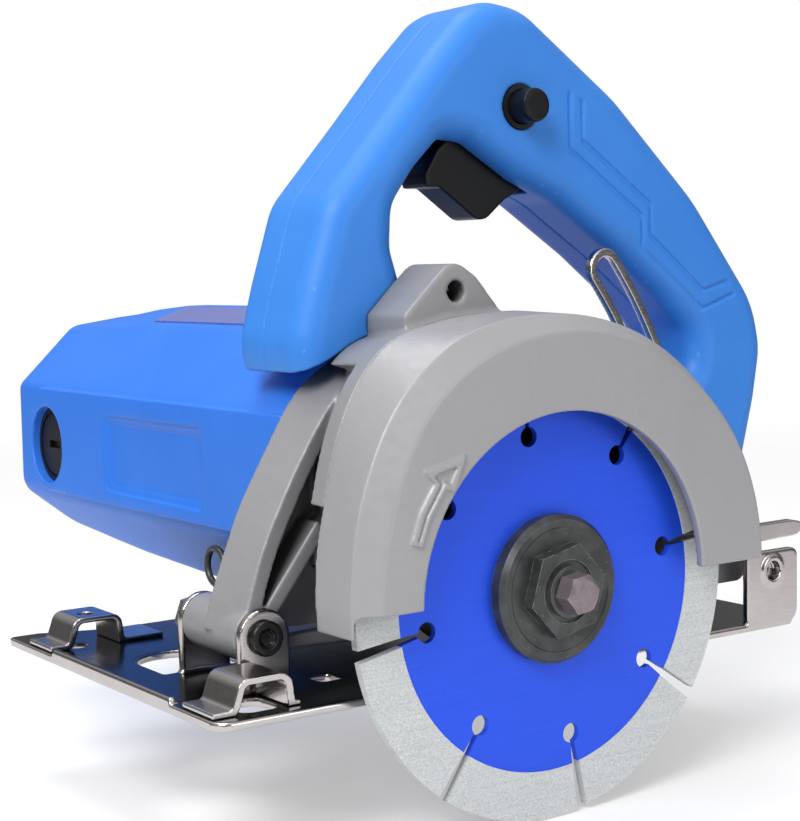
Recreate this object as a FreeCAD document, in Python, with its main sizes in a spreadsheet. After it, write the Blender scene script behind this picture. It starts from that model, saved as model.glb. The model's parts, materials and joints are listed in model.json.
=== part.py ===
import FreeCAD, Part
import math
import os
import Sketcher
from FreeCAD import Vector

# Hand-held wet tile saw with a 110 mm segmented diamond blade.
# Millimetres, +Z up.  Origin: centre of the underside of the base plate (the sole).
# -X is the cutting direction (front), +X the grip end (rear).
# -Y is the blade side (near), +Y the motor side (far).
# Every piece is drawn about the spindle: the near face of the blade core lies at y = 0 and
# the spindle axis on x = z = 0.  One placement (origin_x, origin_y, origin_z) moves all of
# it to the sole.

doc = FreeCAD.newDocument("TileSaw")
spec = doc.addObject("Spreadsheet::Sheet", "Spec")

SPEC = [
    ("origin_x", -4.3), ("origin_y", -62.3), ("origin_z", 21.6),
    # blade and its clamping stack
    ("blade_rad", 55.0), ("core_rad", 43.6), ("core_thick", 1.6), ("seg_thick", 2.2),
    ("blade_bore_rad", 10.0), ("key_pitch_rad", 36.3), ("key_rad", 2.4), ("blade_phase", 99.3),
    ("slot_half_in", 0.55), ("slot_half_out", 1.45),
    ("flange_rad", 17.5), ("outer_flange_thick", 4.0), ("inner_flange_thick", 4.9),
    ("hexboss_flats", 19.6), ("washer_rad", 6.0), ("bolt_head_flats", 8.4), ("bolt_rad", 3.0),
    ("spindle_rad", 6.0),
    # gears
    ("gear_module", 1.0), ("gear_teeth", 32), ("pinion_teeth", 20), ("gear_width", 8.0),
    # motor; its axis is measured from the spindle
    ("motor_x", -10.0), ("motor_z", 24.0),
    ("motor_half_w", 37.0), ("panel_proud", 1.3), ("motor_start", 40.0), ("motor_end", 206.4),
    ("stator_rad", 30.5), ("stator_len", 55.0), ("rotor_rad", 21.4), ("rotor_len", 51.0),
    ("commutator_rad", 13.0), ("brush_y", 178.5), ("cap_rad", 11.4),
    # guard
    ("guard_face_y", -8.0), ("guard_seam_y", 10.0), ("guard_window_rad", 41.9),
    ("guard_wall", 2.0),
    # handle
    ("seam_y", 46.0), ("handle_near_y", 29.0), ("handle_far_y", 61.0), ("handle_wall", 2.6),
    ("button_x", 16.7), ("button_z", 114.5), ("button_rad", 4.2), ("button_proud", 6.5),
    # base
    ("plate_front", -86.0), ("plate_rear", 91.0), ("plate_near", 5.7), ("plate_far", 112.0),
    ("plate_thick", 2.0), ("sole_z", -21.6), ("hoop_thick", 1.4), ("hoop_high", 7.7),
    ("pivot_x", -63.0), ("pivot_z", -7.4), ("ear_rad", 6.6), ("pivot_pin_rad", 3.0),
    ("arc_rad", 132.0), ("strip_half", 5.4), ("strip_thick", 2.0), ("strip_y", 25.3),
    ("strip_slot_half", 3.1), ("clamp_rad", 3.0),
]
for row, (alias, value) in enumerate(SPEC, 1):
    spec.set("A%d" % row, alias)
    spec.set("B%d" % row, repr(value))
    spec.setAlias("B%d" % row, alias)
doc.recompute()


def dim(name):
    """A driving dimension, read from the spreadsheet."""
    return float(spec.get(name))


# Axes and planes shared by several pieces
MOTOR_X, MOTOR_Z = dim("motor_x"), dim("motor_z")
MOTOR_Y = dim("motor_start")
PIVOT_X, PIVOT_Z = dim("pivot_x"), dim("pivot_z")
GUARD_SEAM = dim("guard_seam_y")
HANDLE_SEAM, NEAR, FAR = dim("seam_y"), dim("handle_near_y"), dim("handle_far_y")
SOLE, PLATE = dim("sole_z"), dim("plate_thick")
PLATE_TOP = SOLE + PLATE
ARC_RAD = dim("arc_rad")
CLAMP_Z = 2.0
CLAMP_X = PIVOT_X + math.sqrt(ARC_RAD ** 2 - (CLAMP_Z - PIVOT_Z) ** 2)

PIECES = []          # every piece to be written out


# ---------------------------------------------------------------- pieces, sketches, bodies
def add_piece(kind, label, dx="0", dz="0", shape=None):
    """A document object placed at the spindle, moved on by the expressions dx and dz."""
    obj = doc.addObject(kind, label)
    obj.Label = label
    if shape is not None:
        obj.Shape = shape
    for axis, shift in (("x", dx), ("y", "0"), ("z", dz)):
        obj.setExpression("Placement.Base." + axis, "Spec.origin_%s + %s" % (axis, shift))
    PIECES.append(obj)
    return obj


def feature(label, shape):
    add_piece("Part::Feature", label, shape=shape)


def body(label, dx="0", dz="0"):
    return add_piece("PartDesign::Body", label, dx, dz)


def rounded_curves(points, at=lambda p: p):
    """Lines and corner arcs of a closed outline.

    Points are (u, v) or (u, v, corner radius); at() carries a flat point into space."""
    spots = [Vector(p[0], p[1], 0) for p in points]
    count = len(spots)
    corners = []
    for i, here in enumerate(spots):
        radius = points[i][2] if len(points[i]) > 2 else 0
        back, ahead = spots[i - 1] - here, spots[(i + 1) % count] - here
        room = 0.49 * min(back.Length, ahead.Length)
        turn = back.getAngle(ahead)
        if radius <= 0 or abs(turn - math.pi) < 1e-4:
            corners.append((here, None, here))
            continue
        back.normalize()
        ahead.normalize()
        reach = min(radius / math.tan(turn / 2), room)
        radius = reach * math.tan(turn / 2)
        bisector = back + ahead
        bisector.normalize()
        middle = here + bisector * (radius / math.sin(turn / 2) - radius)
        corners.append((here + back * reach, middle, here + ahead * reach))
    curves = []
    for i, (start, middle, end) in enumerate(corners):
        if middle is not None:
            curves.append(Part.Arc(at(start), at(middle), at(end)))
        curves.append(Part.LineSegment(at(end), at(corners[(i + 1) % count][0])))
    return curves


def circle(sketch, u, v, radius, expr=None):
    index = sketch.addGeometry(Part.Circle(Vector(u, v, 0), Vector(0, 0, 1), radius), False)
    rule = sketch.addConstraint(Sketcher.Constraint("Radius", index, radius))
    if expr:
        sketch.setExpression("Constraints[%d]" % rule, expr)


def add_sketch(piece, role, name, off=0.0, outlines=(), circles=()):
    """Sketch on an origin plane; on XZ_Plane a positive off moves it towards -y."""
    sketch = piece.newObject("Sketcher::SketchObject", name)
    base = [f for f in piece.Origin.OriginFeatures if f.Role == role][0]
    sketch.AttachmentSupport = (base, "")
    sketch.MapMode = "FlatFace"
    sketch.AttachmentOffset = FreeCAD.Placement(Vector(0, 0, off), FreeCAD.Rotation())
    for points in outlines:
        for curve in rounded_curves(points):
            sketch.addGeometry(curve, False)
    for args in circles:
        circle(sketch, *args)
    return sketch


def arc_closed(sketch, chain, middle):
    """A chain of lines closed by one arc through the middle point."""
    spots = [Vector(p[0], p[1], 0) for p in chain]
    for start, end in zip(spots, spots[1:]):
        sketch.addGeometry(Part.LineSegment(start, end), False)
    sketch.addGeometry(Part.Arc(spots[-1], Vector(middle[0], middle[1], 0), spots[0]), False)


def pad(piece, profile, length, name, expr=None, rev=False):
    solid = piece.newObject("PartDesign::Pad", name)
    solid.Profile = profile
    solid.Length = length
    solid.Reversed = rev
    if expr:
        solid.setExpression("Length", expr)
    profile.Visibility = False


def pocket(piece, profile, length, name, mid=True):
    """Pocket that is turned round if it would miss the piece."""
    doc.recompute()
    before = piece.Shape.Volume
    hollow = piece.newObject("PartDesign::Pocket", name)
    hollow.Profile = profile
    hollow.Length = length
    hollow.Midplane = mid
    hollow.Reversed = False
    doc.recompute()
    if not piece.Shape.Volume < before - 1e-6:
        hollow.Reversed = True
        doc.recompute()
    if not piece.Shape.Volume < before - 1e-6:
        raise RuntimeError("pocket %s in %s removes nothing" % (name, piece.Label))
    return hollow


def revolve(piece, profile, name="Revolution", kind="PartDesign::Revolution"):
    turn = piece.newObject(kind, name)
    turn.Profile = profile
    turn.ReferenceAxis = (profile, ["V_Axis"])
    turn.Angle = 360


def turned(label, profile, dx="0", dz="0"):
    """A piece turned about the y direction; profile points are (radius, y)."""
    piece = body(label, dx, dz)
    revolve(piece, add_sketch(piece, "XY_Plane", label + "_profile", outlines=[profile]))


# ---------------------------------------------------------------- solids
def outline_wire(points, at):
    edges = [curve.toShape() for curve in rounded_curves(points, at)]
    return Part.Wire(Part.__sortEdges__(edges))


def xz_wire(points, y):
    return outline_wire(points, lambda p: Vector(p.x, y, p.y))


def slab(points, y0, y1):
    """Prism of an x, z outline between two y values."""
    return Part.Face(xz_wire(points, y0)).extrude(Vector(0, y1 - y0, 0))


def yz_slab(points, x0, x1):
    wire = outline_wire(points, lambda p: Vector(x0, p.x, p.y))
    return Part.Face(wire).extrude(Vector(x1 - x0, 0, 0))


def xy_slab(points, z0, z1):
    wire = outline_wire(points, lambda p: Vector(p.x, p.y, z0))
    return Part.Face(wire).extrude(Vector(0, 0, z1 - z0))


def rod(x, z, radius, y0, y1):
    return Part.makeCylinder(radius, y1 - y0, Vector(x, y0, z), Vector(0, 1, 0))


def motor_rod(radius, y0, y1):
    return rod(MOTOR_X, MOTOR_Z, radius, y0, y1)


def pin_z(x, y, radius, z0, height):
    return Part.makeCylinder(radius, height, Vector(x, y, z0), Vector(0, 0, 1))


def box(x0, x1, y0, y1, z0, z1):
    """Box between two opposite corners, given in either order."""
    return Part.makeBox(abs(x1 - x0), abs(y1 - y0), abs(z1 - z0),
                        Vector(min(x0, x1), min(y0, y1), min(z0, z1)))


def tidy(shape):
    """Merge split faces where that leaves a sound solid."""
    merged = shape.copy().removeSplitter()
    sound = merged.isValid() and abs(merged.Volume - shape.Volume) < 1e-3 * abs(shape.Volume)
    return merged if sound else shape


def fuse(shape, *others):
    for other in others:
        shape = shape.fuse(other)
    return tidy(shape)


def cut(shape, *others):
    for other in others:
        shape = shape.cut(other)
    return shape


def biggest(shape):
    return max(shape.Solids, key=lambda solid: solid.Volume)


def on_circle(radius, degrees):
    angle = math.radians(degrees)
    return radius * math.cos(angle), radius * math.sin(angle)


def hexagon(flats, turn):
    return [on_circle(flats / math.sqrt(3), 60 * k + turn) for k in range(6)]


def spoke(r, side, angle, x=0, z=0):
    """Point r along the spoke at an angle, set off to its side."""
    return (x + r * math.cos(angle) - side * math.sin(angle),
            z + r * math.sin(angle) + side * math.cos(angle))


def spoke_slab(r0, half0, r1, half1, angle, y0, y1, x=0, z=0):
    """Radial bar from r0 to r1 with a half width at each end."""
    corners = ((r0, -half0), (r1, -half1), (r1, half1), (r0, half0))
    return slab([spoke(r, side, angle, x, z) for r, side in corners], y0, y1)


def motor_spokes(count, r0, r1, half, y0, y1):
    return [spoke_slab(r0, half, r1, half, math.radians(360 / count * k), y0, y1,
                       MOTOR_X, MOTOR_Z) for k in range(count)]


# ================================================================= blade stack
BLADE_RAD, CORE_RAD = dim("blade_rad"), dim("core_rad")
CORE_THICK, SEG_THICK = dim("core_thick"), dim("seg_thick")
KEY_PITCH, KEY_RAD = dim("key_pitch_rad"), dim("key_rad")
SLOT_IN, SLOT_OUT = dim("slot_half_in"), dim("slot_half_out")
BLADE_PHASE = math.radians(dim("blade_phase"))
SLOTS = 8


def slot_half(r):
    """Half width of a blade slot, widening from the keyhole to the rim."""
    run = (r - KEY_PITCH) / (BLADE_RAD - KEY_PITCH)
    return SLOT_IN + (SLOT_OUT - SLOT_IN) * max(0, run)


# Blade core: steel disc with eight keyhole slots.
core = body("blade_core")
disc = add_sketch(core, "XZ_Plane", "core_outline", circles=[
    (0, 0, CORE_RAD, "Spec.core_rad"), (0, 0, dim("blade_bore_rad"), "Spec.blade_bore_rad")])
pad(core, disc, CORE_THICK, "core_pad", "Spec.core_thick", rev=True)
keyhole = add_sketch(core, "XZ_Plane", "keyhole")
mouth_r = KEY_PITCH + math.sqrt(KEY_RAD ** 2 - slot_half(KEY_PITCH) ** 2)
past_r = CORE_RAD + 1.0
arc_closed(keyhole, [spoke(r, side, BLADE_PHASE) for r, side in (
    (mouth_r, -SLOT_IN), (past_r, -slot_half(past_r)), (past_r, slot_half(past_r)),
    (mouth_r, SLOT_IN))], spoke(KEY_PITCH - KEY_RAD, 0, BLADE_PHASE))
one_keyhole = pocket(core, keyhole, 10, "keyhole_pocket")
pattern = core.newObject("PartDesign::PolarPattern", "keyholes")
pattern.Originals = [one_keyhole]
pattern.Axis = (keyhole, ["N_Axis"])
pattern.Angle = 360
pattern.Occurrences = SLOTS
core.Tip = pattern
doc.recompute()

# Diamond segments: rim pieces between the slots, a little thicker than the core.
seg_y = CORE_THICK / 2 - SEG_THICK / 2
ring = cut(rod(0, 0, BLADE_RAD, seg_y, seg_y + SEG_THICK),
           rod(0, 0, CORE_RAD, seg_y - 1, seg_y + 4))
for k in range(SLOTS):
    ring = ring.cut(spoke_slab(30, slot_half(30), 60, slot_half(60),
                               BLADE_PHASE + math.radians(360 / SLOTS * k),
                               seg_y - 1, seg_y + 4))
feature("diamond_segments", Part.makeCompound(ring.Solids))

FLANGE_RAD, OUTER_THICK = dim("flange_rad"), dim("outer_flange_thick")
HUB_END = CORE_THICK + dim("inner_flange_thick")
# Inner flange: stepped washer behind the blade, with the boss the blade sits on.
turned("inner_flange", [
    (6.02, 0.25), (9.97, 0.25), (9.97, CORE_THICK), (FLANGE_RAD, CORE_THICK),
    (FLANGE_RAD, 3.6), (FLANGE_RAD - 1.5, 5.0), (12.5, 5.0), (12.5, HUB_END), (6.02, HUB_END)])

# Outer flange: disc with a raised, dished hexagon.
DISH_FLOOR = OUTER_THICK + 2.2          # depth of the dish floor, towards -y
outer = body("outer_flange")
revolve(outer, add_sketch(outer, "XY_Plane", "flange_profile", outlines=[[
    (3.25, 0), (8, 0), (8.6, -0.4), (12.5, -0.4), (13, 0), (FLANGE_RAD, 0),
    (FLANGE_RAD, -2.9), (FLANGE_RAD - 1.1, -OUTER_THICK), (FLANGE_RAD - 2.7, -OUTER_THICK),
    (FLANGE_RAD - 3.1, -OUTER_THICK + 0.25), (3.25, -OUTER_THICK + 0.25)]]))
pad(outer, add_sketch(outer, "XZ_Plane", "hex_boss", OUTER_THICK - 0.5,
                      [hexagon(dim("hexboss_flats"), 13.0)], [(0, 0, 3.25)]), 3.4, "hex_pad")
doc.recompute()
pocket(outer, add_sketch(outer, "XZ_Plane", "hex_dish", 20.0, circles=[(0, 0, 7.4)]),
       20 - DISH_FLOOR, "dish", mid=False)

washer_y, washer_rad = -DISH_FLOOR, dim("washer_rad")
head_y = washer_y - 1.6
turned("bolt_washer", [(3.2, washer_y), (washer_rad, washer_y), (washer_rad, washer_y - 1.3),
                       (5.4, head_y), (3.2, head_y)])

# Blade bolt: bevelled hexagon head, shank into the spindle.
BOLT_RAD, HEAD_FLATS = dim("bolt_rad"), dim("bolt_head_flats")
bolt = body("blade_bolt")
pad(bolt, add_sketch(bolt, "XZ_Plane", "head", -head_y, [hexagon(HEAD_FLATS, 8.0)]),
    5.0, "head_pad")
revolve(bolt, add_sketch(bolt, "XY_Plane", "shank", outlines=[[
    (0, head_y), (BOLT_RAD, head_y), (BOLT_RAD, 13.0), (2.4, 14.0), (0, 14.0)]]), "shank_turn")
doc.recompute()
corner_r = HEAD_FLATS / math.sqrt(3)
revolve(bolt, add_sketch(bolt, "XY_Plane", "head_bevel", outlines=[[
    (corner_r - 1.5, head_y - 5.0), (corner_r + 0.7, head_y - 3.7),
    (corner_r + 0.7, head_y - 5.6), (corner_r - 1.5, head_y - 5.6)]]),
    "bevel", "PartDesign::Groove")
doc.recompute()

# ================================================================= spindle and gears
SPINDLE_RAD = dim("spindle_rad")
turned("spindle", [
    (3.02, 0.6), (5.98, 0.6), (5.98, 8.2), (SPINDLE_RAD, 8.2), (SPINDLE_RAD, 16.4),
    (7.6, 16.4), (7.6, 17.4), (6.0, 17.4), (6.0, 26.2), (4.0, 26.2), (4.0, 34.0), (0, 34.0),
    (0, 15.0), (3.02, 15.0)])


def involute_gear(teeth, width, y0, x, z, phase):
    """Straight involute gear about the y direction, teeth thinned for backlash."""
    module = dim("gear_module")
    pressure, thin = math.radians(20), 0.12
    pitch_r = teeth * module / 2.0
    base_r = pitch_r * math.cos(pressure)
    tip_r, root_r = pitch_r + 0.9 * module, pitch_r - 1.2 * module
    half = (math.pi / (2 * teeth) + math.tan(pressure) - pressure - thin / (2 * pitch_r))
    flank = [(root_r, half)]
    for i in range(6):
        r = base_r + (tip_r - base_r) * i / 5
        roll = math.acos(min(1, base_r / r))
        flank.append((r, half - (math.tan(roll) - roll)))
    points = []
    for tooth in range(teeth):
        centre = phase + 2 * math.pi * tooth / teeth
        points += [spoke(r, 0, centre - a, x, z) for r, a in flank]
        points += [spoke(r, 0, centre + a, x, z) for r, a in reversed(flank)]
    return slab(points, y0, y0 + width)


# The two axes are 26 mm apart: 16 mm + 10 mm pitch radii.
mesh_angle = math.atan2(MOTOR_Z, MOTOR_X)
PINION_TEETH = int(dim("pinion_teeth"))
gear = involute_gear(int(dim("gear_teeth")), dim("gear_width"), 17.5, 0, 0, mesh_angle)
gear = cut(gear, rod(0, 0, 6.02, 16.5, 26.5),
           cut(rod(0, 0, 13.0, 17.0, 18.7), rod(0, 0, 8.8, 16, 19)),
           cut(rod(0, 0, 13.0, 24.3, 26.0), rod(0, 0, 8.8, 24, 27)))
feature("spindle_gear", gear)
pinion = involute_gear(PINION_TEETH, 9.5, 16.8, MOTOR_X, MOTOR_Z,
                       mesh_angle + math.pi + math.pi / PINION_TEETH)
shaft = fuse(motor_rod(5.0, 26.3, 60), motor_rod(5.5, 60, 166), motor_rod(4.6, 166, 187),
             motor_rod(3.5, 187, 194))
feature("armature_shaft", fuse(pinion, shaft))

# ================================================================= armature
ROTOR_RAD, ROTOR_LEN = dim("rotor_rad"), dim("rotor_len")
COMM_RAD = dim("commutator_rad")
ON_MOTOR = ("Spec.motor_x", "Spec.motor_z")

laminations = cut(motor_rod(ROTOR_RAD, 80, 80 + ROTOR_LEN), motor_rod(5.52, 70, 140))
feature("armature_core",
        cut(laminations, *motor_spokes(12, 16, 23, 0.9, 79, 82 + ROTOR_LEN)))
turned("armature_windings_front", [
    (5.6, 70), (12, 69), (17.5, 72), (18.5, 76), (18, 79.9), (5.6, 79.9)], *ON_MOTOR)
turned("armature_windings_rear", [
    (5.6, 131.1), (18, 131.1), (18.5, 137), (15, 146), (9, 158), (5.6, 158)], *ON_MOTOR)
copper = cut(motor_rod(COMM_RAD, 168, 184), motor_rod(4.62, 160, 190))
feature("commutator", cut(copper, *motor_spokes(24, 11.8, 14, 0.25, 167, 187)))

# Fan: hub, disc and twelve straight blades, in the chamber next to the gear housing.
fan = fuse(motor_rod(30.0, 48.0, 49.6), motor_rod(9.0, 46.0, 56.0))
fan = fuse(fan, *motor_spokes(12, 8, 29.8, 0.7, 49.6, 57.0))
feature("cooling_fan", fan.cut(motor_rod(5.02, 40, 70)))

# Ball bearings, drawn as their outer envelope: (label, bore, outer radius, y from, y to, axis)
for label, bore_r, outer_r, y0, y1, axis in (
        ("spindle_bearing_front", 6.03, 13.98, 8.6, 16.3, ()),
        ("spindle_bearing_rear", 4.03, 10.98, 26.8, 33.8, ()),
        ("armature_bearing_front", 5.03, 12.98, 27.0, 35.0, ON_MOTOR),
        ("armature_bearing_rear", 3.53, 9.48, 187.2, 193.0, ON_MOTOR)):
    turned(label, [(bore_r, y0), (outer_r, y0), (outer_r, y1), (bore_r, y1)], *axis)

# ================================================================= stator, brushes
STATOR_RAD = dim("stator_rad")
stator = motor_rod(STATOR_RAD - 0.05, 78, 78 + dim("stator_len"))
stator = stator.cut(motor_rod(ROTOR_RAD + 0.6, 70, 140))
pole = motor_rod(ROTOR_RAD + 2.4, 60, 150)
for side in (1, -1):
    z_in, z_out = MOTOR_Z + side * 8.5, MOTOR_Z + side * 17.6
    window = slab([(MOTOR_X - 26.0, z_in), (MOTOR_X + 26.0, z_in),
                   (MOTOR_X + 22.6, z_out), (MOTOR_X - 22.6, z_out)], 70, 140)
    stator = stator.cut(cut(window, pole))
feature("stator_core", biggest(stator))

# Field coils: one above and one below the rotor, two straight sides and two end turns each.
coils = []
for side in (1, -1):
    z_in, z_out, z_end = (MOTOR_Z + side * rise for rise in (11.0, 17.2, 27))
    sides = [cut(box(MOTOR_X + hand * 17.0, MOTOR_X + hand * 22.2, 70, 141, z_in, z_out),
                 motor_rod(ROTOR_RAD + 2.8, 60, 150)) for hand in (1, -1)]
    coil = sides[0].fuse(sides[1])
    for y0, y1 in ((70, 76.5), (134.5, 141)):
        end_turn = slab([(MOTOR_X - 22.2, z_in), (MOTOR_X + 22.2, z_in),
                         (MOTOR_X + 22.2, z_out), (MOTOR_X + 12, z_end),
                         (MOTOR_X - 12, z_end), (MOTOR_X - 22.2, z_out)], y0, y1)
        coil = coil.fuse(cut(end_turn, motor_rod(23.2, 60, 150)))
    coils.append(biggest(tidy(coil)))
feature("field_coils", Part.makeCompound(coils))

BRUSH_Y, CAP_RAD = dim("brush_y"), dim("cap_rad")


def along_x(x0, x1, radius):
    """Rod along the brush axis."""
    return Part.makeCylinder(radius, abs(x1 - x0), Vector(min(x0, x1), BRUSH_Y, MOTOR_Z),
                             Vector(1, 0, 0))


def brush_block(x0, x1, gap):
    """Brush section, 10 x 6 mm, with a gap all round."""
    return box(x0, x1, BRUSH_Y - 5 - gap, BRUSH_Y + 5 + gap,
               MOTOR_Z - 3 - gap, MOTOR_Z + 3 + gap)


holders, brushes, springs, caps = [], [], [], []
for side in (-1, 1):
    face_x = MOTOR_X + side * (COMM_RAD + 0.05)
    back_x = MOTOR_X + side * (COMM_RAD + 10.5)
    holder_x = MOTOR_X + side * (COMM_RAD + 1.6)
    plug_x = MOTOR_X + side * 31.0          # inner end of the cap
    cap_x = MOTOR_X + side * 35.0           # outer face of the cap
    brushes.append(cut(brush_block(face_x, back_x, 0), motor_rod(COMM_RAD + 0.05, 160, 190)))
    holders.append(cut(along_x(holder_x, plug_x, 6.9),
                       brush_block(holder_x - side, plug_x + side, 0.05),
                       motor_rod(COMM_RAD + 1.2, 160, 190)))
    springs.append(cut(along_x(back_x + side * 0.02, plug_x, 2.6),
                       along_x(back_x - side, plug_x + side, 1.6)))
    cap = fuse(along_x(plug_x, cap_x, 7.2), along_x(MOTOR_X + side * 33.4, cap_x, CAP_RAD))
    # screwdriver slot and a ring groove
    cap = cap.cut(box(cap_x - side * 1.3, cap_x + side * 2, BRUSH_Y - 3.8, BRUSH_Y + 3.8,
                      MOTOR_Z - 1.1, MOTOR_Z + 1.1))
    caps.append(cap.cut(along_x(cap_x - side * 0.45, cap_x + side, 9.9).cut(
        along_x(cap_x - side, cap_x + side * 2, 9.1))))
feature("brush_holders", Part.makeCompound(holders))
feature("carbon_brushes", Part.makeCompound(brushes))
feature("brush_springs", Part.makeCompound(springs))
feature("brush_caps", Part.makeCompound(caps))

# ================================================================= motor housing
HALF_W = dim("motor_half_w")
PANEL_W = HALF_W + dim("panel_proud")


def motor_outline(half_w, z_top, z_shoulder, z_side, z_low, z_belly, scale=1.0):
    """Cross-section: flat sides, ridged top, chamfered shoulders and belly."""
    half = [(4, z_top, 5), (18, z_shoulder, 7), (half_w / scale, z_side, 3.5),
            (half_w / scale, z_low, 7), (19, z_belly, 14)]
    right = [(MOTOR_X + x * scale, z, r * scale) for x, z, r in half]
    right[2] = right[2][:2] + (3.5 * scale,)
    left = [(2 * MOTOR_X - x, z, r) for x, z, r in reversed(right)]
    # start at the low left corner and go round over the top
    return left[1:] + right + left[:1]


# y, half width, heights of ridge, shoulder, side top, side foot and belly, scale
MOTOR_STATIONS = [
    (MOTOR_Y, HALF_W, 65.0, 60.0, 41.5, 9.0, -11.5, 1.0),
    (78, HALF_W, 65.0, 60.0, 41.5, 9.0, -11.3, 1.0),
    (117, HALF_W, 65.2, 60.2, 41.5, 9.0, -9.9, 1.0),
    (150, HALF_W, 65.2, 60.2, 41.5, 9.0, -8.5, 1.0),
    (168, HALF_W, 63.9, 59.6, 41.5, 9.0, -7.2, 1.0),
    (182, HALF_W - 0.1, 62.3, 59.3, 41.5, 9.0, -6.0, 1.0),
    (195, HALF_W - 0.4, 61.3, 59.1, 41.4, 9.0, -5.0, 1.0),
    (201, HALF_W - 0.9, 60.7, 58.8, 41.2, 9.3, -4.2, 0.99),
    (204, HALF_W - 2.2, 59.2, 57.4, 40.4, 10.4, -2.6, 0.95),
    (205.6, HALF_W - 4.4, 56.8, 55.0, 39.2, 12.2, 0.0, 0.90),
    (dim("motor_end"), HALF_W - 7.2, 53.8, 52.0, 37.6, 14.0, 3.2, 0.83),
]
motor_outer = Part.makeLoft([xz_wire(motor_outline(*q[1:]), q[0]) for q in MOTOR_STATIONS],
                            True, True)
# raised panels on both sides, ending round the brush caps and thinning at that end
for side in (-1, 1):
    panel = yz_slab([(MOTOR_Y, 10.4, 0), (MOTOR_Y, 41.2, 0), (193.4, 41.2, 15.2),
                     (193.4, 10.4, 15.2)],
                    MOTOR_X + side * (HALF_W - 8.0), MOTOR_X + side * PANEL_W)
    thinning = [(0, 160), (-0.7, 194), (3, 196), (3, 158)]      # out from the panel face, y
    panel = panel.cut(xy_slab([(MOTOR_X + side * (PANEL_W + out), y) for out, y in thinning],
                              0, 60))
    motor_outer = motor_outer.fuse(panel)
# a shallow framed field in the front panel, left blank
PANEL_X = MOTOR_X - PANEL_W
field = yz_slab([(79.8, 13.9, 2.5), (137.6, 13.9, 2.5), (137.6, 35.6, 2.5),
                 (79.8, 35.6, 2.5)], PANEL_X - 1, PANEL_X + 0.9)
field_in = yz_slab([(81.6, 15.7, 1.6), (135.8, 15.7, 1.6), (135.8, 33.8, 1.6),
                    (81.6, 33.8, 1.6)], PANEL_X - 1, PANEL_X + 1.5)
# bores for rotor, stator and brush gear, and the rear bearing seat
motor = cut(motor_outer, field, field_in,
            fuse(motor_rod(STATOR_RAD, MOTOR_Y - 1, 150), motor_rod(27.5, 149, 179.0),
                 motor_rod(23.5, 178, 184.5)),
            cut(motor_rod(25.0, 184.4, 202.6), motor_rod(15.0, 184, 203)))
seat = cut(motor_rod(14.9, 186.6, 203.0), motor_rod(9.5, 183, 193.2))
motor = cut(motor.fuse(seat), motor_rod(9.5, 183, 193.2), motor_rod(3.8, 190, 195))
for side in (-1, 1):
    motor = cut(motor, along_x(MOTOR_X + side * 20, MOTOR_X + side * 40, 7.25),
                along_x(MOTOR_X + side * 33.35, MOTOR_X + side * 40, CAP_RAD + 0.15),
                box(MOTOR_X + side * 14, MOTOR_X + side * 30, BRUSH_Y - 7.3, BRUSH_Y + 7.3,
                    MOTOR_Z - 7.3, MOTOR_Z + 7.3))
# two columns of five slots in the far end
for k in range(5):
    slot_z = MOTOR_Z - 14 + 7 * k
    for side in (-1, 1):
        slot_x = MOTOR_X + side * 19.5
        motor = motor.cut(box(slot_x - 3.6, slot_x + 3.6, 190, 210, slot_z - 1.3, slot_z + 1.3))
motor = biggest(tidy(motor))

# ================================================================= gear housing
# Guard outlines as (angle in degrees, radius from the spindle):
# at the seam with the gear housing, part way to the face, and at the face.
SEAM_R = [
    (-4, 61.0), (8, 61.0), (25, 61.0), (45, 61.5), (60, 62.4), (75, 63.4), (90, 64.7),
    (100, 65.4), (107, 66.6), (113, 67.6), (119, 69.2), (124, 69.7), (130, 68.8), (138, 66.5),
    (146, 63.8), (156, 60.9), (166, 59.7), (177, 58.7), (184, 58.5)]
MID_R = [
    (-4, 64.0), (8, 64.2), (28, 64.3), (45, 63.9), (61, 63.9), (80, 64.0), (95, 64.4),
    (107, 65.4), (115, 65.9), (122, 65.6), (133, 64.7), (142, 63.2), (150, 61.7), (159, 60.4),
    (167, 59.3), (177, 58.5), (184, 58.4)]
FACE_R = [
    (-4, 62.6), (8, 62.6), (28, 62.4), (45, 61.4), (61, 60.6), (80, 60.2), (98, 60.0),
    (113, 60.0), (122, 59.7), (131, 58.9), (139, 57.5), (147, 55.9), (156, 54.4), (166, 53.5),
    (177, 52.8), (184, 52.6)]


def radius_at(table, angle):
    """Smooth (Catmull-Rom) radius at an angle in degrees."""
    if angle <= table[0][0]:
        return table[0][1]
    if angle >= table[-1][0]:
        return table[-1][1]
    last = len(table) - 1
    i = next(k for k in range(last) if table[k][0] <= angle <= table[k + 1][0])

    def slope(j, k):
        return (table[k][1] - table[j][1]) / (table[k][0] - table[j][0])

    span = table[i + 1][0] - table[i][0]
    slope0 = slope(max(i - 1, 0), i + 1)
    slope1 = slope(i, min(i + 2, last))
    f = (angle - table[i][0]) / span
    return ((2 * f ** 3 - 3 * f ** 2 + 1) * table[i][1]
            + (f ** 3 - 2 * f ** 2 + f) * span * slope0
            + (-2 * f ** 3 + 3 * f ** 2) * table[i + 1][1] + (f ** 3 - f ** 2) * span * slope1)


def spline_edge(points):
    curve = Part.BSplineCurve()
    curve.interpolate(Points=points)
    return curve.toShape()


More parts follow.
